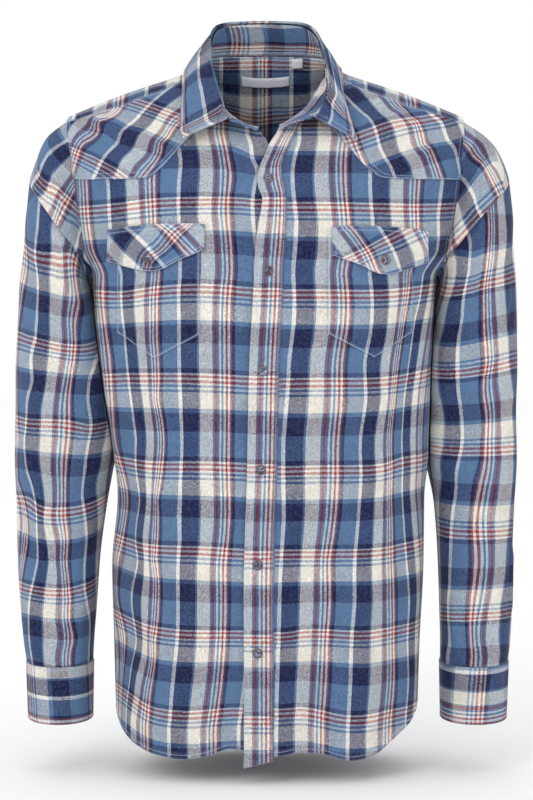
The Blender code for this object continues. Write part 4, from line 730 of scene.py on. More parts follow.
def thread(name, lines):
    """Rows of short stitches on lines of points and facings, each stitch a few faces."""
    body = [(at, b * 0.9, n * 0.9) for at in (-0.55, 0.55) for b, n in ((1, 0), (0, 1), (-1, 0))]
    shape = [(-1, 0, -0.4), *body, (1, 0, -0.4)]
    faces = [(0, 2, 1), (0, 3, 2), (1, 2, 5, 4), (2, 3, 6, 5), (7, 4, 5), (7, 5, 6)]
    corners, quads = [], []
    for line in lines:
        run = running_length(line[:, :3])
        middles = np.arange(STITCH_PITCH / 2, run[-1] - STITCH / 2, STITCH_PITCH)
        for middle in middles:
            at = middle + STITCH / 2 * np.array([-1, 0, 1])
            ends = straight(at, run, line)
            centre, facing = ends[1, :3], unit(ends[1, 3:])
            way = unit(ends[2, :3] - ends[0, :3])
            side = np.cross(facing, way)
            start = len(corners)
            for a, b, n in shape:
                corners.append(centre + way * a * STITCH / 2 + side * b * THREAD + facing * n * THREAD)
            quads += [tuple(start + i for i in face) for face in faces]
    made = add_mesh(name, [tuple(c) for c in corners], quads, "thread")
    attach(made, "root")


def grid_facing(grid):
    return unit(np.cross(np.gradient(grid, axis=1), np.gradient(grid, axis=0)))


def topstitch(made, grid, flip, *rows):
    """Stitches along a panel's edges: for each row the edge, its inset, and how far it stays off the ends."""
    both = np.concatenate([grid, grid_facing(grid) * (-1 if flip else 1)], -1)
    thread(made.name + "_stitches", [inset_line(both, *row) for row in rows])


def piece(name, node, grid, plaid, rows=(), **kind):
    """A piece of the shirt's cloth, with its rows of stitches."""
    made = cloth(name, grid, plaid, **kind)
    finish_piece(made, node)
    if rows:
        topstitch(made, grid, kind.get("flip", False), *rows)


PUCKER = 0.00045
PUCKER_WAVES = ((0.0171, 1.3, 0.4), (0.0263, 2.9, 0.35), (0.0109, 4.1, 0.25))  # length, turn by seed, share


def pucker(along_seam, distance, reach, seed):
    """Small gathers that run away from a stitched seam and fade out."""
    wave = sum(
        np.sin(along_seam / length * 2 * np.pi + seed * turn) * share for length, turn, share in PUCKER_WAVES
    )
    return PUCKER * wave * hump(distance, reach)


# ---------------------------------------------------------------- reading the charts


def seen(points):
    """Where points appear from the camera, in mm from the middle of its view, across and up."""
    ahead = np.array([0.0, CAMERA_AHEAD, -CAMERA_DROP]) / VIEW_DISTANCE
    upward = np.array([0.0, CAMERA_DROP, CAMERA_AHEAD]) / VIEW_DISTANCE
    away = points - CAMERA_SPOT
    scale = 1000 * VIEW_DISTANCE / (away @ ahead)
    return pairs(away[..., 0] * scale, (away @ upward) * scale)


def find_on(grid, spread, spots):
    """Where each seen spot lies on a panel, in the panel's own spread, and which of the spots are on it."""
    view = seen(grid)
    steps = [(np.gradient(view, axis=axis), np.gradient(spread, axis=axis)) for axis in (1, 0)]
    found, kept = [], []
    for number, spot in enumerate(spots):
        gap = np.sum((view - spot) ** 2, -1)
        at = np.unravel_index(gap.argmin(), gap.shape)
        if gap[at] > MISS**2:
            continue
        slope = np.stack([seen_step[at] for seen_step, _ in steps], 1)
        part = np.linalg.lstsq(slope, spot - view[at], rcond=FLATTEST)[0]
        part = np.clip(part, -PART_STEP, PART_STEP)
        found.append(spread[at] + sum(share * step[at] for share, (_, step) in zip(part, steps)))
        kept.append(number)
    return np.array(found), kept


def bend(spots, values, at):
    """A thin plate bent over scattered values, with a little slack."""

    def pull(p, q):
        far = ((p[:, None] - q[None]) ** 2).sum(-1) * PLATE_SCALE + TINY
        return far * np.log(far)

    count = len(spots)
    flat = np.concatenate([np.ones((count, 1)), spots], 1)
    system = np.zeros((count + 3, count + 3))
    system[:count, :count] = pull(spots, spots) + PLATE_SLACK * np.eye(count)
    system[:count, count:], system[count:, :count] = flat, flat.T
    weights = np.linalg.solve(system, np.concatenate([values, np.zeros(3)]))
    points = at.reshape(-1, 2)
    level = weights[count] + points @ weights[count + 1 :]
    return (pull(points, spots) @ weights[:count] + level).reshape(at.shape[:-1])


def line_places(lines, places, repeat):
    """The pattern's place, in metres, and the seen spot of each point of a chart."""
    values, spots = [], []
    for line in lines.split(";"):
        head, points = line.split(":")
        name, number = head.split()
        points = [point.split() for point in points.split(",")]
        values += [(places[name] + int(number) * repeat) / 1000] * len(points)
        spots += points
    return np.array(values), np.array(spots, float)


def follow(grid, spread, axis, lines, runs_on=True):
    """From the seen part of a panel, a function that gives the plaid's place, one way, all over its spread.

    Beyond the charted points the cloth just runs on, so the place grows with the length.
    """
    stripes, places = ((WARP, WARP_LINES), (WEFT, WEFT_LINES))[axis]
    values, spots = line_places(lines, places, sum(stripes["mm"]))
    spots, kept = find_on(grid, spread, spots)
    values = values[kept]
    lows, highs = spots.min(0), spots.max(0)
    along_axis = spots[:, axis] - spots[:, axis].mean()
    way = np.sign(along_axis @ values)

    def place(at):
        inner = np.clip(at, lows, highs) if runs_on else at
        return bend(spots, values, inner) + way * (at - inner)[..., axis]

    return place


def charted(grid, spread, warp, weft, runs_on=True):
    """As follow(), for both ways."""
    places = [follow(grid, spread, axis, lines, runs_on) for axis, lines in enumerate((warp, weft))]
    return lambda at: pairs(*(place(at) for place in places))


# ---------------------------------------------------------------- the fronts


def wide(z, side):
    """The half-width that a front's grid is measured by: it doesn't narrow over the shoulder."""
    return half_width(np.minimum(z, SHOULDER_TIP), side)


def front_place(side):
    """Puts a front's grid points, (angle, z), on the torso: x is the angle's share of the full width."""

    def place(points):
        angle, z = points[..., 0], points[..., 1]
        x = side * wide(z, side) * np.sin(np.radians(angle))
        return smooth_torso(front_phi(x, z), z)

    return place


def to_angle(x, z, side):
    """The grid angle of a point seen from the front at x, counted from the centre out to the side."""
    share = side * np.asarray(x) / wide(z, side)
    return np.degrees(np.arcsin(np.clip(share, -1, 1)))


def from_angle(grid, side):
    angle, z = grid[..., 0], grid[..., 1]
    return front_phi(side * wide(z, side) * np.sin(np.radians(angle)), z), z


def armhole_x(z, side):
    """How far out the armhole's front edge lies."""
    return np.abs(smooth_torso(side * armhole_phi(z), z)[..., 0])


def front_outer_edge(side, top, shares):
    """Up the side seam, then up the front of the armhole."""
    below = np.linspace(hem_z(90.0 * side), ARMPIT, 100)
    above = np.linspace(ARMPIT, top, 200)[1:]
    angles = [np.full(100, 90.0), to_angle(side * armhole_x(above, side), above, side)]
    return even(pairs(np.concatenate(angles), np.concatenate([below, above])), shares, front_place(side))


def seam_line(side):
    """The forward shoulder seam, from the neck to the armhole."""
    reach = np.linspace(0, 1, 200)
    x, z = (look(FORWARD_SEAM, "reach", name, reach) for name in "xz")
    return pairs(to_angle(side * np.minimum(x, armhole_x(z, side)), z, side), z - SEAM)


def neckline_phi(x):
    """Where round the neckline a point seen at x from the front lies."""
    phi = np.linspace(0, NECK_CORNER, 400)
    reach = smooth_torso(phi, neck_z(phi))[:, 0]
    return np.interp(np.abs(x), reach, phi)


HEM_LEVEL = -0.69  # height at which a front's hem is spread by its angles
NECK_SHARE = 0.4  # how much of a front's top row runs along the neckline


def front_panel(side):
    """One front, from its edge at the centre to the side seam and the armhole, as (phi, z)."""
    place = front_place(side)
    rows_of = BAND_EDGE if side == WEARERS_LEFT else UNDER_EDGE
    edge_z = np.linspace(rows_of["z"][0], rows_of["z"][-1], 200)
    edge = pairs(to_angle(look(rows_of, "z", "x", edge_z), edge_z, side), edge_z)
    v, u = map(spaced, SPANS["front"])
    centre = even(edge, v, place)
    shoulder = seam_line(side)
    outer = front_outer_edge(side, shoulder[-1, 1], v)
    angle = centre[0, 0] + (outer[0, 0] - centre[0, 0]) * u
    hem = hem_z(front_phi(side * wide(HEM_LEVEL, side) * np.sin(np.radians(angle)), HEM_LEVEL))
    hem[0], hem[-1] = centre[0, 1], outer[0, 1]
    shoulder[-1] = outer[-1]
    x = np.linspace(smooth_torso(*from_angle(centre[-1], side))[0] * side, FORWARD_SEAM["x"][0], 100)
    neck_phi = neckline_phi(x)
    neck = pairs(to_angle(side * x, neck_z(neck_phi) - SEAM, side), neck_z(neck_phi) - SEAM)
    neck[0], neck[-1] = centre[-1], shoulder[0]
    first = u[u <= NECK_SHARE] / NECK_SHARE
    first[-1] = 1.0
    rest = (u[u > NECK_SHARE] - NECK_SHARE) / (1 - NECK_SHARE)
    top = np.concatenate([even(neck, first, place), even(shoulder, rest, place)])
    return from_angle(patch(pairs(angle, hem), top, centre, outer, u, v), side)


UNDER_BAND_DROP = 0.0022
UNDER_BAND_FROM, UNDER_BAND_OVER = 0.066, 0.052  # how far out from the centre it starts, and over what width


def under_band(phi, z):
    """How far the wearer's right front drops behind the other one near the centre."""
    x = smooth_torso(phi, z)[..., 0]
    return -UNDER_BAND_DROP * soft_step((x + UNDER_BAND_FROM) / UNDER_BAND_OVER)


def front_spread(points, side):
    """Metres round the torso from the centre front, and height."""
    return pairs(side * METRES_A_DEGREE * to_angle(points[..., 0], points[..., 2], side), points[..., 2])


front_plaids = {}  # by side, once the fronts are made: the pockets and the back follow them
SIDE_DIP, YOKE_DIP = 0.0007, 0.0012  # how far panels and yokes are drawn in at their seams
HEM_GATHERS, SIDE_GATHERS = 0.010, 0.012  # how far in the puckers reach
UNDER_YOKE, UNDER_BACK_YOKE = 0.050, 0.02  # how much of the armhole rows the yokes hide


def build_fronts():
    for side, word in SIDES.items():
        phi, z = front_panel(side)
        flat = torso(phi, z)
        d = to_edges(flat)
        out = sewn(d["b"], HEM_ROW) + dipped(d["r"], SIDE_DIP)
        if side == WEARERS_RIGHT:
            out = out + under_band(phi, z)
        out = out + pucker(run_along(flat, 1), d["b"], HEM_GATHERS, 3.0 + side)
        out = out + pucker(phi * METRES_A_DEGREE, d["r"], SIDE_GATHERS, 1.0)
        grid = torso(phi, z, out)
        spread = front_spread(flat, side)
        front_plaids[side] = charted(flat, spread, *CHARTS[f"{word}_front"])
        plaid, wear = front_plaids[side](spread), worn(flat, b=HEM_ROW, r=SEAM_ROW)
        rows = (("b", HEM_ROW, ROW_ENDS, ROW_ENDS), ("r", SEAM_ROW, ROW_ENDS, UNDER_YOKE))
        piece(f"{word}_front", f"front_{word}", grid, plaid, rows, flip=side == WEARERS_RIGHT, wear=wear)


def build_front_yokes():
    """The pointed yokes that lie on the fronts."""
    v, u = map(spaced, SPANS["front_yoke"])
    for side, word in SIDES.items():
        place = front_place(side)
        reach = np.linspace(0, 1, 200)
        x, z = (look(YOKE_EDGE, "reach", part, reach) for part in "xz")
        x = np.minimum(x, armhole_x(z, side))
        low = even(pairs(to_angle(side * x, z, side), z), u, place)
        high = even(seam_line(side)[::-1], u, place)
        outer_z = np.linspace(low[0, 1], high[0, 1], 100)
        outer = pairs(to_angle(side * armhole_x(outer_z, side), outer_z, side), outer_z)
        inner_x = np.linspace(x[-1], FORWARD_SEAM["x"][0], 100)
        inner_z = neck_z(neckline_phi(inner_x)) - SEAM
        inner = pairs(to_angle(side * inner_x, inner_z, side), inner_z)
        outer[0], outer[-1], inner[0], inner[-1] = low[0], high[0], low[-1], high[-1]
        grid = patch(low, high, even(outer, v, place), even(inner, v, place), u, v)
        phi, z = from_angle(grid, side)
        flat = torso(phi, z, LEVEL)
        d = to_edges(flat)
        grid = torso(phi, z, LEVEL + sewn(d["b"], HEM_ROW) + dipped(d["l"], YOKE_DIP))
        spread = front_spread(flat, side)
        plaid = charted(flat, spread, *CHARTS[f"{word}_yoke"], runs_on=False)(spread)
        wear = worn(flat, b=YOKE_ROWS[0], l=SEAM_ROW, t=YOKE_TOP_ROW)
        seams = (*YOKE_EDGE_ROWS, ("t", YOKE_SEAM_ROW))
        rows = [(edge, inset, ROW_ENDS, YOKE_ROW_END) for edge, inset in seams]
        name, node = f"{word}_front_yoke", f"front_yoke_{word}"
        piece(name, node, grid, plaid, rows, flip=side == WEARERS_LEFT, wear=wear)


BAND_LIFTS = (0.0032, 0.0012, 0.0006, 0.0009, 0.0005, 0.0008)  # of its free edge, below each snap


def band_lift(z):
    """How far the free edge stands off between the snaps that hold it."""
    ends = (*SNAP_HEIGHTS, BAND_EDGE["z"][0])
    return sum(
        height * np.sin(np.pi * np.clip((top - z) / (top - low), 0, 1)) ** 2
        for height, top, low in zip(BAND_LIFTS, ends, ends[1:])
    )


def build_band():
    """The snap band on the wearer's left front, from the neck to the hem."""
    share = spaced(BAND_SPAN)[:, None]
    low, high = BAND_EDGE["z"][0], BAND_EDGE["z"][-1]
    z = high - SEAM + (low - high) * (1 - share)
    edge, seam = (look(rows, "z", "x", z) for rows in (BAND_EDGE, BAND_SEAM))
    across = spaced(BAND_WIDTH, FINE_PITCH)[None, :]
    x = edge + (seam - edge) * across
    level = LEVEL + band_lift(z) * (1 - across) ** 2
    at_hem, at_neck = (part**BAND_RISE_POWER for part in (1 - share, share))
    z = z + (BAND_RISE_AT_HEM * at_hem + BAND_RISE_AT_NECK * at_neck) * across
    flat = torso(front_phi(x, z), z, level)
    d = to_edges(flat)
    seams = {"l": BAND_EDGE_ROW, "r": BAND_SEAM_ROW, "b": HEM_ROW}
    grid = torso(front_phi(x, z), z, level + sum(sewn(d[side], row) for side, row in seams.items()))
    spread = front_spread(flat, WEARERS_LEFT)
    down = follow(flat, spread, 1, BAND_CHART)(spread)
    wear = worn(flat, **seams)
    rows = [(edge, inset, 0.003, 0.002) for edge, inset in (("l", BAND_EDGE_ROW), ("r", BAND_SEAM_STITCHES))]
    plaid = pairs(BAND_PLAID + BAND_WIDTH * across, down)
    piece("snap_band_cloth", "snap_band", grid, plaid, rows, wear=wear)


def on_front(x, z, out):
    phi = front_phi(x, z)
    return torso(phi, z, out), torso_normal(phi, z)


POCKET_SEAMS = {"l": 0.0018, "r": 0.0018, "b": 0.0018}
POCKET_ROWS = (("l", 0.0016), ("r", 0.0016), ("b", 0.0016))
FLAP_SEAMS = {"l": 0.0045, "r": 0.0045, "b": 0.0045, "t": 0.0040}
FLAP_ROWS = (("l", 0.0045), ("r", 0.0045), ("b", 0.0042), ("t", 0.0045), ("b", 0.0012))


def build_pockets():
    """Pockets lie on the fronts, and their flaps lie on the pockets."""
    for side, word in SIDES.items():
        for name, shape, level, puff, seams, rows in (
            ("pocket", POCKET, 1, 0.0, POCKET_SEAMS, POCKET_ROWS),
            ("pocket_flap", FLAP, 2, FLAP_PUFF, FLAP_SEAMS, FLAP_ROWS),
        ):
            rise, share = map(spaced, SPANS[name])
            rise = rise[:, None]
            parts = (f"{word}_{part}" for part in ("x", "top", "bottom"))
            x, top, bottom = (look(shape, "along", part, share) for part in parts)
            if name == "pocket":  # its lower edge is straight between its corners
                bottom = np.interp(share, shape["along"], shape[f"{word}_bottom"])
            z = bottom + (top - bottom) * rise
            x = side * x + 0.0 * z
            out = LEVEL * level + puff * np.sin(np.pi * share) ** PUFF_POWER * (1 - rise)
            flat = torso(front_phi(x, z), z, out)
            d = to_edges(flat)
            out = out + sum(sewn(d[edge], EDGE_PAD) for edge in "lrb")
            grid = torso(front_phi(x, z), z, out)
            spread = front_spread(flat, side)
            if name == "pocket":
                plaid = front_plaids[side](spread)
            else:
                plaid = charted(flat, spread, *CHARTS[f"{word}_flap"], runs_on=False)(spread)
            rows = [(edge, inset, POCKET_ROW_ENDS, POCKET_ROW_ENDS) for edge, inset in rows]
            kind = {"flip": side == WEARERS_RIGHT, "wear": worn(flat, **seams)}
            piece(f"{word}_{name}", f"{name}_{word}", grid, plaid, rows, **kind)


# ---------------------------------------------------------------- the back and its yoke


def build_back():
    """From side seam to side seam, and up to just under the yoke's lower edge."""
    top = BACK_YOKE_EDGE["z"][0] + YOKE_OVERLAP
    ends = []
    v, share = map(spaced, SPANS["back"])
    for side in (WEARERS_LEFT, WEARERS_RIGHT):
        below = np.linspace(hem_z(90.0 * side), ARMPIT, 100)
        above = np.linspace(ARMPIT, top, 100)[1:]
        back_phi = 180.0 - np.degrees(np.arcsin(armhole_x(above, side) / half_width(above, side)))
        phi = np.concatenate([np.full(100, 90.0), back_phi])
        phi = phi if side == WEARERS_LEFT else 360.0 - phi
        ends.append(even(pairs(phi, np.concatenate([below, above])), v, on_torso))
    left, right = ends
    low_phi = left[0, 0] + (right[0, 0] - left[0, 0]) * share
    high_phi = left[-1, 0] + (right[-1, 0] - left[-1, 0]) * share
    from_side = np.abs(np.sin(np.radians(high_phi))) * half_width(top, 1)
    high_z = along(-BACK_YOKE_EDGE["x"], BACK_YOKE_EDGE["z"], -from_side) + YOKE_OVERLAP
    high_z[0] = high_z[-1] = top
    low_z = hem_z(np.where(low_phi > 180, low_phi - 360, low_phi))
    grid = patch(pairs(low_phi, low_z), pairs(high_phi, high_z), left, right, share, v)
    phi, z = grid[..., 0], grid[..., 1]
    flat = torso(phi, z)
    d = to_edges(flat)
    out = sewn(d["b"], HEM_ROW) + dipped(d["l"], SIDE_DIP) + dipped(d["r"], SIDE_DIP)
    down = front_plaids[WEARERS_LEFT](pairs(90.0 * METRES_A_DEGREE, z))[..., 1]
    middle = d["l"][:, d["l"].shape[1] // 2, None]
    grid = torso(phi, z, out)
    ends = {"b": (HEM_ROW, ROW_ENDS), "l": (SEAM_ROW, UNDER_BACK_YOKE), "r": (SEAM_ROW, UNDER_BACK_YOKE)}
    rows = [(edge, inset, ROW_ENDS, end) for edge, (inset, end) in ends.items()]
    wear = worn(flat, b=HEM_ROW, l=SEAM_ROW, r=SEAM_ROW)
    piece("back_panel", "back", grid, pairs(BACK_PLAID + middle - d["l"], down), rows, wear=wear)


def ridge_z(x, side):
    """Height of the shoulder's ridge at x."""
    z = np.linspace(TORSO["z"][-1], SHOULDER_TIP, 400)
    return np.interp(np.abs(x), half_width(z, side), z)


def over_ridge(grid, side):
    """Turns yoke grid points, (x, way over the ridge), into (phi, z).

    The way is the root of the drop below the ridge: minus on the back, plus on the front.
    """
    x, way = grid[..., 0], grid[..., 1]
    z = ridge_z(x, side) - way**2
    phi = np.degrees(np.arcsin(np.clip(x / half_width(z, side), -1, 1)))
    return side * np.where(way > 0, phi, 180.0 - phi), z


def yoke_point(x, z, side, facing):
    """The yoke grid point of a point on the torso, on the front (1) or on the back (-1)."""
    return pairs(x, facing * np.sqrt(np.maximum(ridge_z(x, side) - z, 0.0)))


def back_yoke_half(side, u, v):
    """One half, from the armhole to the centre back, as (phi, z)."""

    def place(points):
        return smooth_torso(*over_ridge(points, side))

    reach = np.linspace(0, 1, 200)
    seam_x, seam_z = (look(FORWARD_SEAM, "reach", name, reach[::-1]) for name in "xz")
    seam_x = np.minimum(seam_x, armhole_x(seam_z, side))
    seam = yoke_point(seam_x, seam_z, side, 1)
    neck_phi = np.linspace(NECK_CORNER, 180.0, 200)
    neck_points = smooth_torso(neck_phi, neck_z(neck_phi))
    facing = np.sign(np.cos(np.radians(neck_phi)))
    neck = yoke_point(neck_points[:, 0], neck_points[:, 2] - SEAM, side, facing)
    neck[0] = seam[-1]
    half = 0.5
    first = u[u <= half] / half
    first[-1] = 1.0
    high = np.concatenate([even(seam, first, place), even(neck, (u[u > half] - half) / (1 - half), place)])
    low_x, low_z = (look(BACK_YOKE_EDGE, "reach", name, reach) for name in "xz")
    low_x = np.minimum(low_x, armhole_x(low_z, side))
    low = even(yoke_point(low_x, low_z, side, -1), u, place)
    up_z = np.linspace(low_z[0], ARMHOLE["z"][-1], 100)
    down_z = np.linspace(ARMHOLE["z"][-1], seam_z[0], 40)
    outer = [yoke_point(armhole_x(z, side), z, side, facing) for z, facing in ((up_z, -1), (down_z, 1))]
    outer = even(np.concatenate(outer), v, place)
    middle_z = np.linspace(low_z[-1], neck_points[-1, 2] - SEAM, 100)
    middle = even(yoke_point(0.0 * middle_z, middle_z, side, -1), v, place)
    outer[0], outer[-1], middle[0], middle[-1] = low[0], high[0], low[-1], high[-1]
    return patch(low, high, outer, middle, u, v)


BACK_YOKE_COLUMNS = 61  # of each half


def build_back_yoke():
    """From its pointed edge on the back, over the shoulders, to the seams at the front."""
    u = np.linspace(0, 1, BACK_YOKE_COLUMNS)
    v = spaced(BACK_YOKE_SPAN)
    grids, spreads = [], []
    for side in (WEARERS_LEFT, WEARERS_RIGHT):
        points = back_yoke_half(side, u, v)
        phi, z = over_ridge(points, side)
        flat = torso(phi, z, LEVEL)
        d = to_edges(flat)
        out = LEVEL + sewn(d["b"], HEM_ROW) + dipped(d["l"], YOKE_DIP)
        grids.append(torso(phi, z, out))
        ridge = np.argmin(np.abs(points[..., 1]), 0)
        over = d["b"] - d["b"][ridge, np.arange(len(u))]
        spreads.append(pairs(flat[..., 0], over))
    grid, spread = (np.concatenate([left, right[:, ::-1][:, 1:]], 1) for left, right in (grids, spreads))
    plaid = charted(grid, spread, *CHARTS["back_yoke"])(spread)
    wear = worn(grid, b=YOKE_ROWS[0], t=YOKE_TOP_ROW, l=SEAM_ROW, r=SEAM_ROW)
    rows = [(edge, inset, ROW_ENDS, YOKE_ROW_END) for edge, inset in (*YOKE_EDGE_ROWS, ("r", SEAM_ROW))]
    piece("back_yoke_panel", "back_yoke", grid, plaid, rows, wear=wear)


# ---------------------------------------------------------------- the collar


def collar_line(columns, share):
    """A line along the collar: share 0 at the wearer's right end, 1 at the left end."""
    place = np.linspace(0, 1, len(FOLD_LINE["phi"]))
    return np.stack([along(place, column, share) for column in columns], -1)


STAND_OVER_NECK = 0.0008
STAND_COLUMNS = 141
RIGHT_END_FLAT, RIGHT_END_RISES = 9.0, 5.0  # degrees: flat so far from the centre front, then rising


def fold_line(share):
    return collar_line([FOLD_LINE[name] for name in "xyz"], share)


def foot_line(share):
    """The foot of the stand, just over the neckline."""
    turned = np.where(FOLD_LINE["phi"] < 0, FOLD_LINE["phi"] + 360, FOLD_LINE["phi"])
    phi = collar_line([turned], share)[..., 0]
    turn = np.where(phi > 180, 360 - phi, phi)
    right_end = soft_step((turn - RIGHT_END_FLAT) / RIGHT_END_RISES)
    level = DOUBLE * np.where(phi > 180, right_end, 1.0)
    return torso(phi, neck_z(turn), level) + [0, 0, STAND_OVER_NECK]


def stand_plaid(grid, spread):
    """The stand is cut across the other pieces: its warp runs along it, so its chart is read crosswise."""
    inside = slice(grid.shape[1] // 4, 3 * grid.shape[1] // 4)
    crosswise = spread[..., ::-1]
    return charted(grid[:, inside], crosswise[:, inside], *CHARTS["stand"])(crosswise)


def build_stand():
    share = np.linspace(0, 1, STAND_COLUMNS)
    foot, head = foot_line(share), fold_line(share) - [0, 0, STAND_UNDER_FOLD]
    rise = spaced(STAND_SPAN)[:, None, None]
    grid = foot + (head - foot) * rise
    spread = pairs(run_along(grid, 1), run_along(grid, 0))
    rows = (("b", 0.0020, ROW_ENDS, ROW_ENDS),)
    kind = {"thickness": DOUBLE, "wear": worn(grid, b=0.0016, l=0.0018, r=0.0018)}
    piece("collar_stand_cloth", "collar_stand", grid, stand_plaid(grid, spread), rows, **kind)
    inner = grid[:, ::-1] - DOUBLE * grid_facing(grid)[:, ::-1]
    thread("collar_stand_cloth_inner_stitches", [
        inset_line(np.concatenate([inner, grid_facing(inner)], -1), *row)
        for row in (("b", 0.0016, ROW_ENDS, ROW_ENDS), ("t", 0.0020, 0.03, 0.03))
    ])


def build_leaf():
    """The turned-down leaf: over the top of the stand and out to the points."""
    last = len(FOLD_LINE["phi"]) - 1
    place = spaced(LEAF_SPAN)
    left_reach, right_reach = (soft_step((share - 1) / LEAF_REACH_OVER + 1) for share in (place, 1 - place))
    reach = LEAF_REACHES[1] * left_reach - LEAF_REACHES[0] * right_reach
    inner = fold_line((LEAF_STARTS + (LEAF_ENDS - LEAF_STARTS) * place + reach) / last)
    edge = np.stack([look(LEAF_EDGE, "place", name, place) for name in "xyz"], -1)
    way = edge - inner
    out = unit(way * [1, 1, 0])
    knots = np.arange(len(LEAF_SECTION["way"]))
    down = np.linspace(0, knots[-1], LEAF_ROWS)
    section = zip(*(along(knots, LEAF_SECTION[name], down) for name in ("way", "out", "rise")))
    rows = [inner + way * share + out * (off + DOUBLE) + [0, 0, rise] for share, off, rise in section]
    rows = np.stack(rows)
    on_body = soft_step((down - LEAF_SETTLES[0]) / LEAF_SETTLES[1])[:, None, None]
    rows += (keep_off(rows, LAYER + LIFT + DOUBLE) - rows) * on_body
    run = run_along(rows, 1)
    spread = pairs(place * run[-1, -1], run_along(rows, 0))
    crosswise = spread[..., ::-1]
    right, left = (
        charted(rows[:, part], crosswise[:, part], *CHARTS[name])(crosswise)
        for part, name in ((place < LEAF_CHARTED, "right_leaf"), (place > 1 - LEAF_CHARTED, "left_leaf"))
    )
    middle = len(place) // 2
    for axis, stripes in enumerate((WARP, WEFT)):
        repeat = sum(stripes["mm"]) / 1000
        left[..., axis] -= repeat * np.round((left - right)[:, middle, axis].mean() / repeat)
    passed = soft_step((place - LEAF_PLAID_TURNS[0]) / LEAF_PLAID_TURNS[1])
    plaid = right + (left - right) * passed[None, :, None]
    wear = worn(rows, t=SEAM_ROW, l=SEAM_ROW, r=SEAM_ROW)
    stitches = [(edge, SEAM_ROW, start, 0.006) for edge, start in (("t", 0.006), ("l", 0.012), ("r", 0.012))]
    piece("collar_leaf_cloth", "collar_leaf", rows, plaid, stitches, thickness=DOUBLE, wear=wear)


LABEL_SAG = -0.0018  # how far the middle of the main label hangs below its ends
LABEL_SAG_WAVES = 60  # in radians a metre, as the waves below
LABEL_WAVE, LABEL_WAVES, LABEL_WAVE_START = 0.0011, 210, 0.8
LABEL_SEWN_FROM = 0.7  # above this share of its half-height a label is held flat
LABEL_GAP = 0.0002  # between the back's cloth and a label
LABEL_COLUMNS, LABEL_ROWS = 31, 11
LABEL_CLOTH = 0.0005


def build_labels():
    for name, spec in (("main_label", MAIN_LABEL), ("size_label", SIZE_LABEL)):
        x = spec["x"] + spec["half_width"] * np.linspace(-1, 1, LABEL_COLUMNS)[None, :]
        z = spec["z"] + spec["half_height"] * np.linspace(-1, 1, LABEL_ROWS)[:, None]
        x, z = np.broadcast_arrays(x, z)
        phi = 180.0 - front_phi(x, z)
        loose = z < spec["z"] + spec["half_height"] * LABEL_SEWN_FROM
        wave = LABEL_WAVE * np.sin(x * LABEL_WAVES + LABEL_WAVE_START) * loose
        sag = LABEL_SAG * np.cos(x * LABEL_SAG_WAVES) * (name == "main_label")
        grid = torso(phi, z + sag, -LABEL_GAP - np.abs(wave))
        made = cloth(name + "_ribbon", grid, pairs(x, z), LABEL_CLOTH, finish="ribbon")
        finish_piece(made, name)


# ---------------------------------------------------------------- the sleeves


def armhole_loop(side, count, under, beyond):
    """Points round the armhole, from the shoulder's tip over the front to the armpit and up the back.

    They lie under the body's surface, and beyond its edge or short of it.
    """
    share = (1 - np.cos(np.linspace(0, np.pi, 200))) / 2
    z = ARMHOLE["z"][-1] + (ARMPIT - ARMHOLE["z"][-1]) * share
    halves = []
    for phi in (armhole_phi(z), 180.0 - armhole_phi(z)):
        points = torso(side * phi, z, -under)
        run = running_length(points)
        halves.append(straight(np.linspace(0, run[-1], count // 2 + 1), run, points))
    front, back = halves
    loop = np.concatenate([front, back[1:-1][::-1]])
    inward = unit((loop - loop.mean(0)) * [0, 1, 1])
    short = max(-beyond, 0.0)
    return loop + [side * max(beyond, 0.0), 0, 0] + inward * short - [side * short, 0, 0]


SLEEVE_POWER = 0.86  # how round a sleeve's section is: 1 is an ellipse
SLEEVE_STARTS = ((0.0022, -0.0024), (0.0013, 0.0003))  # of its first rings: how far under and beyond the body


def sleeve_rings(side, count):
    """The rings of one sleeve, each with its points in the same order as the armhole's."""
    turn = np.linspace(0, 2 * np.pi, count, endpoint=False)
    reach_share, depth_share = (
        np.sign(share) * np.abs(share) ** SLEEVE_POWER for share in (np.cos(turn), np.sin(turn))
    )
    rings = [armhole_loop(side, count, under, beyond) for under, beyond in SLEEVE_STARTS]
    for outer_x, outer_z, inner_x, inner_z, middle_y, half_depth in zip(*SLEEVES[side].values()):
        outer = np.array([side * outer_x, middle_y, outer_z])
        inner = np.array([side * inner_x, middle_y, inner_z])
        across, back = reach_share[:, None] * (outer - inner) / 2, depth_share[:, None] * [0, half_depth, 0]
        rings.append((outer + inner) / 2 + across - back)
    rings[-1][:, 2] -= CUFF_TILT * half_depth * depth_share - SEAM
    return np.roll(np.stack(rings), count // 2, 1)


def grid_normals(grid, side):
    around = np.roll(grid, -1, 1) - np.roll(grid, 1, 1)
    return unit(np.cross(around, np.gradient(grid, axis=0))) * side


def sleeve_grid(side, rows, columns):
    """The sleeve's outer face, with its folds, from the armhole down to the cuff."""
    rings = sleeve_rings(side, columns)
    run = running_length(rings.mean(1))
    drop = np.linspace(0, 1, rows)
    grid = np.empty((rows, columns, 3))
    for column in range(columns):
        for axis in range(3):
            grid[:, column, axis] = along(run / run[-1], rings[:, column, axis], drop)
    turn = np.linspace(-180, 180, columns, endpoint=False)[None, :]
    height = sum(
        fold_height(turn, drop[:, None], folds, metres_across=FOLD_METRES_A_DEGREE, metres_down=run[-1])
        for folds in (SLEEVE_FOLDS, SLEEVE_CREASES[side])
    )
    grid += grid_normals(grid, side) * height[..., None]
    pushed = keep_off(grid, SLEEVE_CLEARANCE)
    below = soft_step((ARMPIT - CLEAR_FROM - grid[..., 2:]) / CLEAR_OVER)
    return grid + (pushed - grid) * below


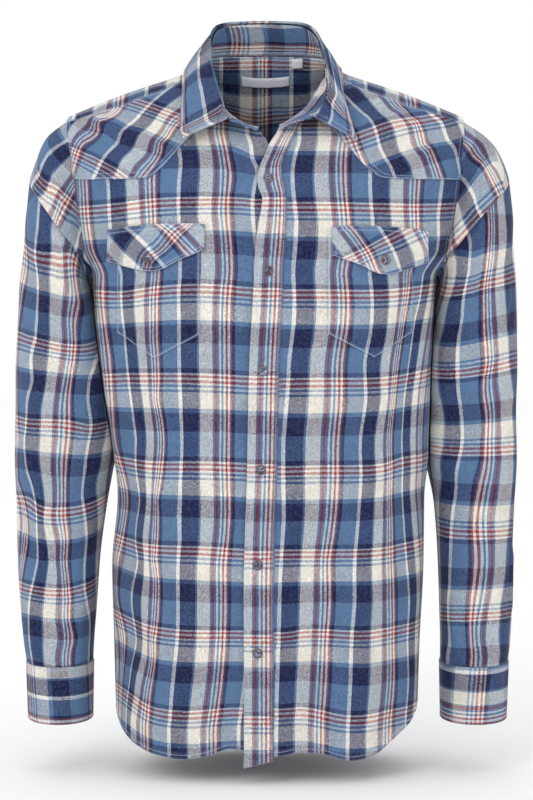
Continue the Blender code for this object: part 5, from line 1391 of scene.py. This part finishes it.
# The fold that breaks over each upper arm, from its outer end in, as it is seen from the camera
TUCK = {
    WEARERS_RIGHT: ((-252.4, 230.5), (-244.8, 217.2), (-230.6, 194.6), (-219.8, 179.5), (-209.4, 164.5),
                    (-194.3, 144.5), (-187.6, 137)),
    WEARERS_LEFT: ((260.7, 231), (254, 223.6), (235, 201), (213.4, 175), (191.9, 150.5)),
}
TUCK_STANDS_OUT = 0.0058
TUCK_HANGS_OVER = 0.0036
TUCK_FADES = {"out": 0.016, "over": 0.009}  # how far above and below it
TUCK_FADES_ROUND = (6.0, 54.0, 125.0, 168.0)  # degrees round the arm: from nothing to full, and back
TUCK_BREAK, TUCK_EDGE = 0.0010, 0.0006  # how softly it stands out and turns over
TUCK_SWELL = 0.54  # how much more it stands out above the fold than below
TUCK_ROWS = 0.001 * np.array([-11, -8, -5.5, -3.5, -2.2, -1.2, -0.5, 0.5, 1.2, 2.2, 3.5, 5.5, 8, 11])
TOP_REPEATS = {WEARERS_RIGHT: -1, WEARERS_LEFT: 1}  # what the top's weft count is short of the lower part's


def sleeve_spread(grid):
    """Metres round the arm from its outer side, and metres down from the armhole."""
    rows, columns = grid.shape[:2]
    turn = np.linspace(-180, 180, columns)
    down = running_length(grid.mean(1))
    return pairs(METRES_A_TURNED_DEGREE * turn[None, :], down[:, None])


def down_column(grid, drops, new_drops):
    """The same grid with each column's points at new drops."""
    columns = zip(grid.swapaxes(0, 1), new_drops.T)
    return np.stack([straight(new, drops, column) for column, new in columns], 1)


def tucked(grid, spread, side):
    """The sleeve with the fold that breaks over the upper arm.

    Gives its points, their spread, how far each is below the fold, and the fold's strength round the arm.
    """
    half = grid.shape[1] // 2
    marks = find_on(grid[:, half:], spread[:, half:], np.array(TUCK[side]))[0]
    marks = marks[np.argsort(marks[:, 0])]
    turn = spread[0, :, 0]
    line = along(marks[:, 0], marks[:, 1], turn) - TUCK_HANGS_OVER / 2
    bottom = spread[-1, 0, 1]
    above, below = line + TUCK_ROWS[0], line + TUCK_ROWS[-1]
    down = np.concatenate(
        [
            np.linspace(0, 1, 60, endpoint=False)[:, None] * above,
            line + TUCK_ROWS[:, None],
            below + (bottom - below) * np.linspace(0, 1, 170)[1:, None],
        ]
    )
    past = down - line
    a, b, c, d = TUCK_FADES_ROUND
    degrees = turn / METRES_A_TURNED_DEGREE
    strength = soft_step((degrees - a) / (b - a)) * soft_step((d - degrees) / (d - c))
    near = np.abs(past)
    swell = (1 - TUCK_SWELL) - TUCK_SWELL * np.tanh(past / TUCK_BREAK)
    out = TUCK_STANDS_OUT * strength * swell * np.exp(-near / TUCK_FADES["out"])
    over = -TUCK_HANGS_OVER * strength * np.tanh(past / TUCK_EDGE) * np.exp(-near / TUCK_FADES["over"])
    drops = spread[:, 0, 1]
    normal = grid_normals(grid[:, :-1], side)
    normal = np.concatenate([normal, normal[:, :1]], 1)
    way = unit(np.gradient(grid, axis=0))
    place, facing, way = (down_column(part, drops, down) for part in (grid, normal, way))
    moved = place + unit(facing) * out[..., None] + unit(way) * over[..., None]
    return moved, pairs(turn[None, :], down), past, strength


SLEEVE_ROWS, SLEEVE_COLUMNS = 220, 132
TUCK_PLAID_BREAK, TUCK_PLAID_REST = 0.0004, 0.05  # over what the plaid changes at the tuck, and away from it


def build_sleeves():
    for side, word in SIDES.items():
        grid = sleeve_grid(side, SLEEVE_ROWS, SLEEVE_COLUMNS)
        wrapped = np.concatenate([grid, grid[:, :1]], 1)
        spread = sleeve_spread(wrapped)
        half = wrapped.shape[1] // 2
        grid, at, past, strength = tucked(wrapped, spread, side)
        top, lower = (
            charted(wrapped[:, half:], spread[:, half:], *CHARTS[f"{word}_{part}"])(at)
            for part in ("sleeve_top", "sleeve")
        )
        top[..., 1] += TOP_REPEATS[side] * sum(WEFT["mm"]) / 1000
        reach = TUCK_PLAID_BREAK + TUCK_PLAID_REST * (1 - strength)
        share = soft_step(0.5 + past / (2 * reach))[..., None]
        plaid = top + (lower - top) * share
        kind = {"closed": True, "flip": side == WEARERS_RIGHT}
        piece(f"{word}_sleeve", f"sleeve_{word}", grid[:, :-1], plaid, **kind)


def wrist(side, z, turn, out):
    """A point of the cuff: turn is in degrees round the wrist from its outer side."""
    rows = SLEEVES[side]
    share = np.clip((CUFF_TOP - z) / (CUFF_TOP - CUFF_BOTTOM), 0, 1)
    tapers = dict(zip(("outer_x", "inner_x", "half_depth"), CUFF_TAPERS))
    outer, inner, deep = (rows[name][-1] + taper * share for name, taper in tapers.items())
    half = (outer - inner) / 2
    turn = np.radians(turn)
    outward = unit(np.stack([np.cos(turn) / half, -np.sin(turn) / deep], -1))
    x = (outer + inner) / 2 + np.cos(turn) * half + outward[..., 0] * out
    y = -np.sin(turn) * deep + outward[..., 1] * out
    points = np.broadcast_arrays(side * x, rows["middle_y"][-1] + y, z + CUFF_TILT * y)
    return np.stack(points, -1)


def build_cuffs():
    """A band round each wrist, one end lapped over the other and snapped."""
    share = spaced(CUFF_SPAN)[None, :]
    turn = CUFF_LAP_AT - CUFF_LAP / 2 + share * (360.0 + CUFF_LAP)
    lap = CUFF_LAP / (360.0 + CUFF_LAP)
    lifted = soft_step((share - 1 + CUFF_LIFT_FROM * lap) / (CUFF_LIFT_OVER * lap))
    out = CUFF_EASE + (DOUBLE + LIFT) * lifted
    z = CUFF_BOTTOM + (CUFF_TOP - CUFF_BOTTOM) * spaced(CUFF_TOP - CUFF_BOTTOM)[:, None]
    for side, word in SIDES.items():
        grid = wrist(side, z + 0.0 * share, turn + 0.0 * z, out + 0.0 * z)
        d = to_edges(grid)
        rolled = out + sewn(d["t"], CUFF_TOP_ROW) + sewn(d["b"], EDGE_PAD)
        grid = wrist(side, z + 0.0 * share, turn + 0.0 * z, rolled)
        spread = pairs(d["l"], d["t"])
        name, number, way, spot = CUFF_MARKS[side]
        front = (turn[0] > 0) & (turn[0] < 180)
        mark = find_on(grid[:, front], spread[:, front], np.array([spot], float))[0][0, 0]
        start = (WEFT_LINES[name] + number * sum(WEFT["mm"])) / 1000
        down = CUFF_PLAID_TOP[side] + CUFF_PLAID_DOWN[side] * d["t"]
        seams = {"t": CUFF_TOP_ROW, "b": CUFF_BOTTOM_ROW, "l": CUFF_END_ROW, "r": CUFF_END_ROW}
        plaid = pairs(down, start + way * (d["l"] - mark))
        rows = [(edge, inset, *CUFF_ROW_ENDS[edge]) for edge, inset in seams.items()]
        kind = {"thickness": DOUBLE, "flip": side == WEARERS_LEFT, "wear": worn(grid, **seams)}
        piece(f"{word}_cuff", f"cuff_{word}", grid, plaid, rows, **kind)


PLACKET_LEVEL = LEVEL + 0.0004


def build_sleeve_plackets():
    """The pointed cover of the slit above each cuff."""
    fine_rows, fine_columns = 241, 192  # of a finer grid of the sleeve, which the cover is cut from
    widest = SLEEVE_PLACKET["half_width"]
    point_share, point_rows = SLEEVE_PLACKET["point_share"], SLEEVE_PLACKET["point_rows"]
    for side, word in SIDES.items():
        fine = sleeve_grid(side, fine_rows, fine_columns)
        normal = grid_normals(fine, side)
        centre = (SLEEVE_PLACKET["turn"] + 180.0) / 360.0 * fine_columns
        first, last = (round(SLEEVE_PLACKET[name] * (fine_rows - 1)) for name in ("from_drop", "to_drop"))
        grid = []
        for ring in range(first, last + 1):
            step = np.linalg.norm(np.roll(fine[ring], -1, 0) - fine[ring], axis=1).mean()
            half = widest / step * min(1.0, point_share + (1 - point_share) * (ring - first) / point_rows)
            at = centre + half * (spaced(2 * widest)[:, None] * 2 - 1)[:, 0]
            low, part = np.floor(at).astype(int) % fine_columns, (at % 1.0)[:, None]
            high = (low + 1) % fine_columns
            point = fine[ring, low] * (1 - part) + fine[ring, high] * part
            facing = unit(normal[ring, low] * (1 - part) + normal[ring, high] * part)
            grid.append(point + facing * PLACKET_LEVEL)
        grid = np.stack(grid)
        plaid = pairs(run_along(grid, 1), run_along(grid, 0))
        name, node = f"{word}_sleeve_placket", f"sleeve_placket_{word}"
        piece(name, node, grid, plaid, flip=side == WEARERS_RIGHT)


# ---------------------------------------------------------------- the snaps


SNAP_DEPTH = 0.0012
SNAP_SIDES = 36
SNAP_BEVEL = 0.00012
PEARL_FROM = 0.001  # its height over the cap's back
SNAP_RIM = 0.00105  # how wide its copper rim is
# From its edge in: how much further in each ring lies, and how much higher
SNAP_RINGS = (
    (0.0004, 0.0005), (0.0005, 0.0001), (0.0002, -0.0005),
    (0.0009, 0.0009), (0.0012, 0.0006), (0.0011, 0.0002),
)


def snap_cap():
    """One cap, face up at the origin: a pressed rim round a low dome."""
    bpy.ops.object.select_all(action="DESELECT")
    middle = (0, 0, SNAP_DEPTH / 2)
    size = {"vertices": SNAP_SIDES, "radius": SNAP_RADIUS, "depth": SNAP_DEPTH}
    bpy.ops.mesh.primitive_cylinder_add(location=middle, **size)
    cap = bpy.context.object
    bpy.ops.object.mode_set(mode="EDIT")
    bpy.ops.mesh.select_mode(type="FACE")
    bpy.ops.mesh.select_all(action="DESELECT")
    bpy.ops.object.mode_set(mode="OBJECT")
    for face in cap.data.polygons:
        face.select = face.normal.z > 0.9
    bpy.ops.object.mode_set(mode="EDIT")
    for inset, rise in SNAP_RINGS:
        bpy.ops.mesh.inset(thickness=inset, use_even_offset=False)
        bpy.ops.transform.translate(value=(0, 0, rise))
    bpy.ops.object.mode_set(mode="OBJECT")
    bevel = cap.modifiers.new("soft_edges", "BEVEL")
    bevel.width, bevel.segments, bevel.limit_method = SNAP_BEVEL, 2, "ANGLE"
    bpy.ops.object.modifier_apply(modifier="soft_edges")
    for finish in ("copper", "pearl"):
        cap.data.materials.append(bpy.data.materials[finish])
    for face in cap.data.polygons:
        is_pearl = math.hypot(*face.center[:2]) < SNAP_RADIUS - SNAP_RIM and face.center.z > PEARL_FROM
        face.material_index = int(is_pearl)
        face.use_smooth = True
    return cap


def set_snap(cap, node, point, facing):
    """A copy of the cap on the cloth, turned to face outward."""
    mesh = cap.data.copy()
    turn = Vector(facing).to_track_quat("Z", "Y").to_matrix().to_4x4()
    mesh.transform(Matrix.Translation(Vector(point)) @ turn)
    finish_piece(add(node.replace("snap_", "") + "_snap", mesh), node)


SNAP_SLIPS = (-0.0040, 0.0013, 0.0, 0.0, 0.0, 0.0)  # how far the band's sway takes each along with it
FLAP_SNAP_PUFF = 0.8  # the share of the flap's puff that is left under its snap


def build_snaps():
    cap = snap_cap()
    for number, z in enumerate(SNAP_HEIGHTS, 1):
        low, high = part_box(f"snap_front_{number}")
        point, facing = on_front((low.x + high.x) / 2 + SNAP_SLIPS[number - 1], z, LEVEL)
        set_snap(cap, f"snap_front_{number}", point, facing)
    for side, word in SIDES.items():
        x, z = FLAP_SNAPS[side]
        set_snap(cap, f"snap_pocket_{word}", *on_front(side * x, z, LEVEL * 2 + FLAP_PUFF * FLAP_SNAP_PUFF))
        for number, height in enumerate(CUFF_SNAP_HEIGHTS, 1):
            level = CUFF_EASE + DOUBLE + LIFT
            point, beyond = (wrist(side, height, CUFF_LAP_AT, level + more) for more in (0.0, 0.01))
            set_snap(cap, f"snap_cuff_{word}_{number}", point, beyond - point)
    bpy.data.objects.remove(cap)


# ---------------------------------------------------------------- finishes

# Yarns, as (red, green, blue) on a screen
YARNS = {
    "cream": (217, 212, 201),
    "white": (214, 213, 211),
    "navy": (18, 26, 66),
    "blue": (80, 108, 143),
    "red": (142, 45, 38),
}
WARP_SHARE = 0.57  # how much of the face is warp
# The flannel's noises: their size, how many to the metre, and how strong they are
WAVER_SIZE, WAVER = 500.0, 0.0012  # how far a stripe's edge strays, in metres
SPECK_SIZE, SPECK = 1500.0, 1.8  # single yarns that show through
FLECK_SIZE, FLECK = 1300.0, 1.9  # yarns that were dyed unevenly
CLOUD_SIZE, CLOUD = 45.0, 0.35  # patches that faded in the wash
LINT_SIZE, LINT, LINT_FROM = 380.0, 0.10, -0.035
RUB_SIZE, RUB, RUB_FROM = 260.0, 1.6, -0.25
TWILL_PITCH, TWILL = 0.0013, 0.08  # metres from rib to rib, and how much more warp a rib shows
SPECK_RISE, TWILL_RISE = 1.4, 0.3  # their shares of the nap's height
NAP = 0.00035
FINE_GRAIN = 0.0001  # height of the other finishes' grain
RIB_PITCH = 0.0006  # of the labels' ribbon


def linear(share):
    share = share / 255
    return share / 12.92 if share <= 0.04045 else ((share + 0.055) / 1.055) ** 2.4


def colour(red, green, blue):
    return (linear(red), linear(green), linear(blue), 1.0)


def half_way(red, green, blue):
    """The square root of a colour. Yarns are mixed so, and the mix is then multiplied by itself."""
    return tuple(math.sqrt(share) for share in colour(red, green, blue))


class Nodes:
    """Short ways to add and join a material's nodes."""

    def __init__(self, name):
        self.material = bpy.data.materials.new(name)
        self.material.use_nodes = True
        self.tree = self.material.node_tree
        self.shader = self.tree.nodes["Principled BSDF"]
        self.spot = self.add("TexCoord").outputs["Object"]

    def add(self, kind, inputs=(), **settings):
        node = self.tree.nodes.new("ShaderNode" + kind)
        for key, value in settings.items():
            setattr(node, key, value)
        for key, value in dict(inputs).items():
            self.put(value, node.inputs[key])
        return node

    def put(self, value, socket):
        if isinstance(value, bpy.types.NodeSocket):
            self.tree.links.new(value, socket)
        else:
            socket.default_value = value

    def math(self, operation, *values):
        return self.add("Math", enumerate(values), operation=operation).outputs[0]

    def noise(self, size, detail=2.0, distortion=0.0):
        inputs = {"Vector": self.spot, "Scale": size, "Detail": detail, "Distortion": distortion}
        return self.add("TexNoise", inputs).outputs["Fac"]

    def swing(self, size, detail=2.0):
        """Noise about zero."""
        return self.math("SUBTRACT", self.noise(size, detail), 0.5)

    def wave(self, place, pitch):
        return self.math("SINE", self.math("MULTIPLY", place, 2 * math.pi / pitch))

    def parts(self, place):
        return self.add("SeparateXYZ", {0: place}).outputs

    def mix(self, share, first, second, blend="MIX"):
        node = self.add("Mix", data_type="RGBA", blend_type=blend)
        for key, value in (("Factor", share), ("A", first), ("B", second)):
            sockets = [s for s in node.inputs if s.name == key and s.enabled]
            self.put(value, sockets[0])
        return next(s for s in node.outputs if s.enabled)

    def face(self, shade, **inputs):
        """The shader's colour and its other inputs, whose names are written with underscores."""
        for key, value in {"Base_Color": shade, **inputs}.items():
            self.put(value, self.shader.inputs[key.replace("_", " ")])

    def bump(self, height, strength, distance):
        bump = self.add("Bump", {"Strength": strength, "Distance": distance, "Height": height})
        self.put(bump.outputs[0], self.shader.inputs["Normal"])


def stripes_ramp(made, place, stripes):
    """The colour of one set of yarns along its repeat."""
    repeat = sum(stripes["mm"])
    share = made.math("FRACT", made.math("DIVIDE", place, repeat / 1000))
    ramp = made.add("ValToRGB", {0: share})
    ramp.color_ramp.interpolation = "CONSTANT"
    starts = np.concatenate([[0], np.cumsum(stripes["mm"])[:-1]]) / repeat
    for number, (start, yarn) in enumerate(zip(starts, stripes["yarn"])):
        stops = ramp.color_ramp.elements
        stop = stops[0] if number == 0 else stops.new(start)
        stop.position, stop.color = start, half_way(*YARNS[yarn])
    ramp.color_ramp.elements.remove(ramp.color_ramp.elements[-1])
    return ramp.outputs[0]


def flannel():
    """Brushed cotton plaid: warp and weft yarns in a fine twill, flecked, faded and rubbed."""
    made = Nodes("flannel")
    place = made.parts(made.add("UVMap", uv_map="plaid").outputs["UV"])
    across, down = place["X"], place["Y"]
    waver = made.swing(WAVER_SIZE)
    warp, weft = (
        stripes_ramp(made, made.math("MULTIPLY_ADD", waver, WAVER, way), stripes)
        for way, stripes in ((across, WARP), (down, WEFT))
    )
    twill = made.wave(made.math("ADD", across, down), TWILL_PITCH)
    speck = made.swing(SPECK_SIZE, 1.0)
    share = made.math("MULTIPLY_ADD", speck, SPECK, made.math("MULTIPLY_ADD", twill, TWILL, 1 - WARP_SHARE))
    woven = made.mix(share, warp, weft)
    woven = made.mix(1.0, woven, woven, "MULTIPLY")
    fleck = made.math("MULTIPLY_ADD", made.swing(FLECK_SIZE, 1.0), FLECK, 1.0)
    light = made.math("MULTIPLY_ADD", made.swing(CLOUD_SIZE, 3.0), CLOUD, fleck)
    grey = made.add("CombineColor", {0: light, 1: light, 2: light}).outputs[0]
    washed = made.mix(1.0, woven, grey, "MULTIPLY")
    lint = made.math("MULTIPLY_ADD", made.noise(LINT_SIZE, 1.0), LINT, LINT_FROM)
    washed = made.mix(lint, washed, colour(200, 208, 222))
    patchy = made.math("MULTIPLY_ADD", made.noise(RUB_SIZE), RUB, RUB_FROM)
    rubbed = made.math("MULTIPLY", made.add("Attribute", attribute_name="wear").outputs["Fac"], patchy)
    made.face(
        made.mix(rubbed, washed, colour(176, 190, 214)),
        Roughness=0.92, Specular_IOR_Level=0.15, Sheen_Weight=0.10, Sheen_Roughness=0.45,
    )
    nap = made.math("MULTIPLY_ADD", speck, SPECK_RISE, made.math("MULTIPLY", twill, TWILL_RISE))
    made.bump(nap, 0.35, NAP)


def sewing_thread():
    """Pale blue topstitching thread, with its twist."""
    made = Nodes("thread")
    shade = made.noise(1400.0)
    made.face(made.mix(shade, colour(150, 172, 206), colour(205, 215, 232)), Roughness=0.6)
    made.bump(shade, 0.3, FINE_GRAIN)


def pearl():
    """The snaps' caps: marbled blue-grey, under a hard gloss."""
    made = Nodes("pearl")
    swirl = made.noise(170.0, distortion=1.6)
    shade = made.math("MULTIPLY_ADD", swirl, 5.5, -2.55)
    marbled = made.mix(shade, colour(20, 26, 52), colour(140, 146, 176))
    made.face(marbled, Roughness=0.22, Coat_Weight=0.6, Coat_Roughness=0.12)
    made.bump(swirl, 0.05, FINE_GRAIN)


def copper():
    """The snaps' rims: brushed metal, dulled in places."""
    made = Nodes("copper")
    dull = made.noise(1200.0)
    rough = made.math("MULTIPLY_ADD", dull, 0.3, 0.2)
    made.face(made.mix(dull, colour(74, 58, 56), colour(168, 140, 126)), Metallic=0.9, Roughness=rough)
    made.bump(dull, 0.1, FINE_GRAIN)


def ribbon():
    """Satin label ribbon, with a fine rib across it."""
    made = Nodes("ribbon")
    shade = made.math("MULTIPLY_ADD", made.noise(900.0), 0.16, 0.42)
    made.face(made.mix(shade, colour(205, 210, 222), colour(238, 240, 246)), Roughness=0.5)
    made.bump(made.wave(made.parts(made.spot)["Z"], RIB_PITCH), 0.2, FINE_GRAIN)


def finish_piece(made, node):
    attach(made, "root")
    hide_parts(node)


def declare_cuts():
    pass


STUDIO_MIDDLE = (0, 0, -0.3)
LAMPS = (("key", (-1.6, -2.6, 1.4), 1.6, 26), ("fill", (2.2, -2.4, 0.2), 2.0, 10))  # place, size and power


def lamp(name, spot, size, power):
    """A soft square lamp that faces the middle of the shirt."""
    light = bpy.data.lights.new(name, "AREA")
    light.size, light.energy = size, power
    holder = add(name, light)
    holder.location = spot
    holder.rotation_euler = (Vector(STUDIO_MIDDLE) - Vector(spot)).to_track_quat("-Z", "Y").to_euler()


def pale_floor():
    made = Nodes("pale_floor")
    made.face(made.mix(made.noise(3.0), colour(250, 250, 250), colour(254, 254, 254)), Roughness=0.9)


def studio():
    lens = bpy.data.cameras.new("camera")
    lens.lens, lens.sensor_width = CAMERA_LENS, CAMERA_SENSOR
    camera = add("camera", lens)
    camera.location = CAMERA_SPOT
    camera.rotation_euler = (math.atan2(CAMERA_AHEAD, CAMERA_DROP), 0, 0)
    bpy.context.scene.camera = camera
    pale_floor()
    bpy.ops.mesh.primitive_plane_add(size=16, location=(0, 0, FLOOR))
    floor = bpy.context.object
    floor.name = "floor"
    floor.data.transform(floor.matrix_world)
    floor.location = (0, 0, 0)
    floor.data.materials.append(bpy.data.materials["pale_floor"])
    world = bpy.data.worlds.new("world")
    bpy.context.scene.world = world
    world.use_nodes = True
    sky = world.node_tree.nodes["Background"]
    sky.inputs["Color"].default_value = (1, 1, 1, 1)
    sky.inputs["Strength"].default_value = 1.0
    for each in LAMPS:
        lamp(*each)
    bpy.context.scene.view_settings.view_transform = "Standard"


for make in (
    flannel, ribbon, sewing_thread, pearl, copper, build_fronts, build_front_yokes, build_band, build_pockets,
    build_back, build_back_yoke, build_stand, build_leaf, build_labels, build_sleeves, build_cuffs,
    build_sleeve_plackets, build_snaps, declare_cuts, studio,
):
    make()
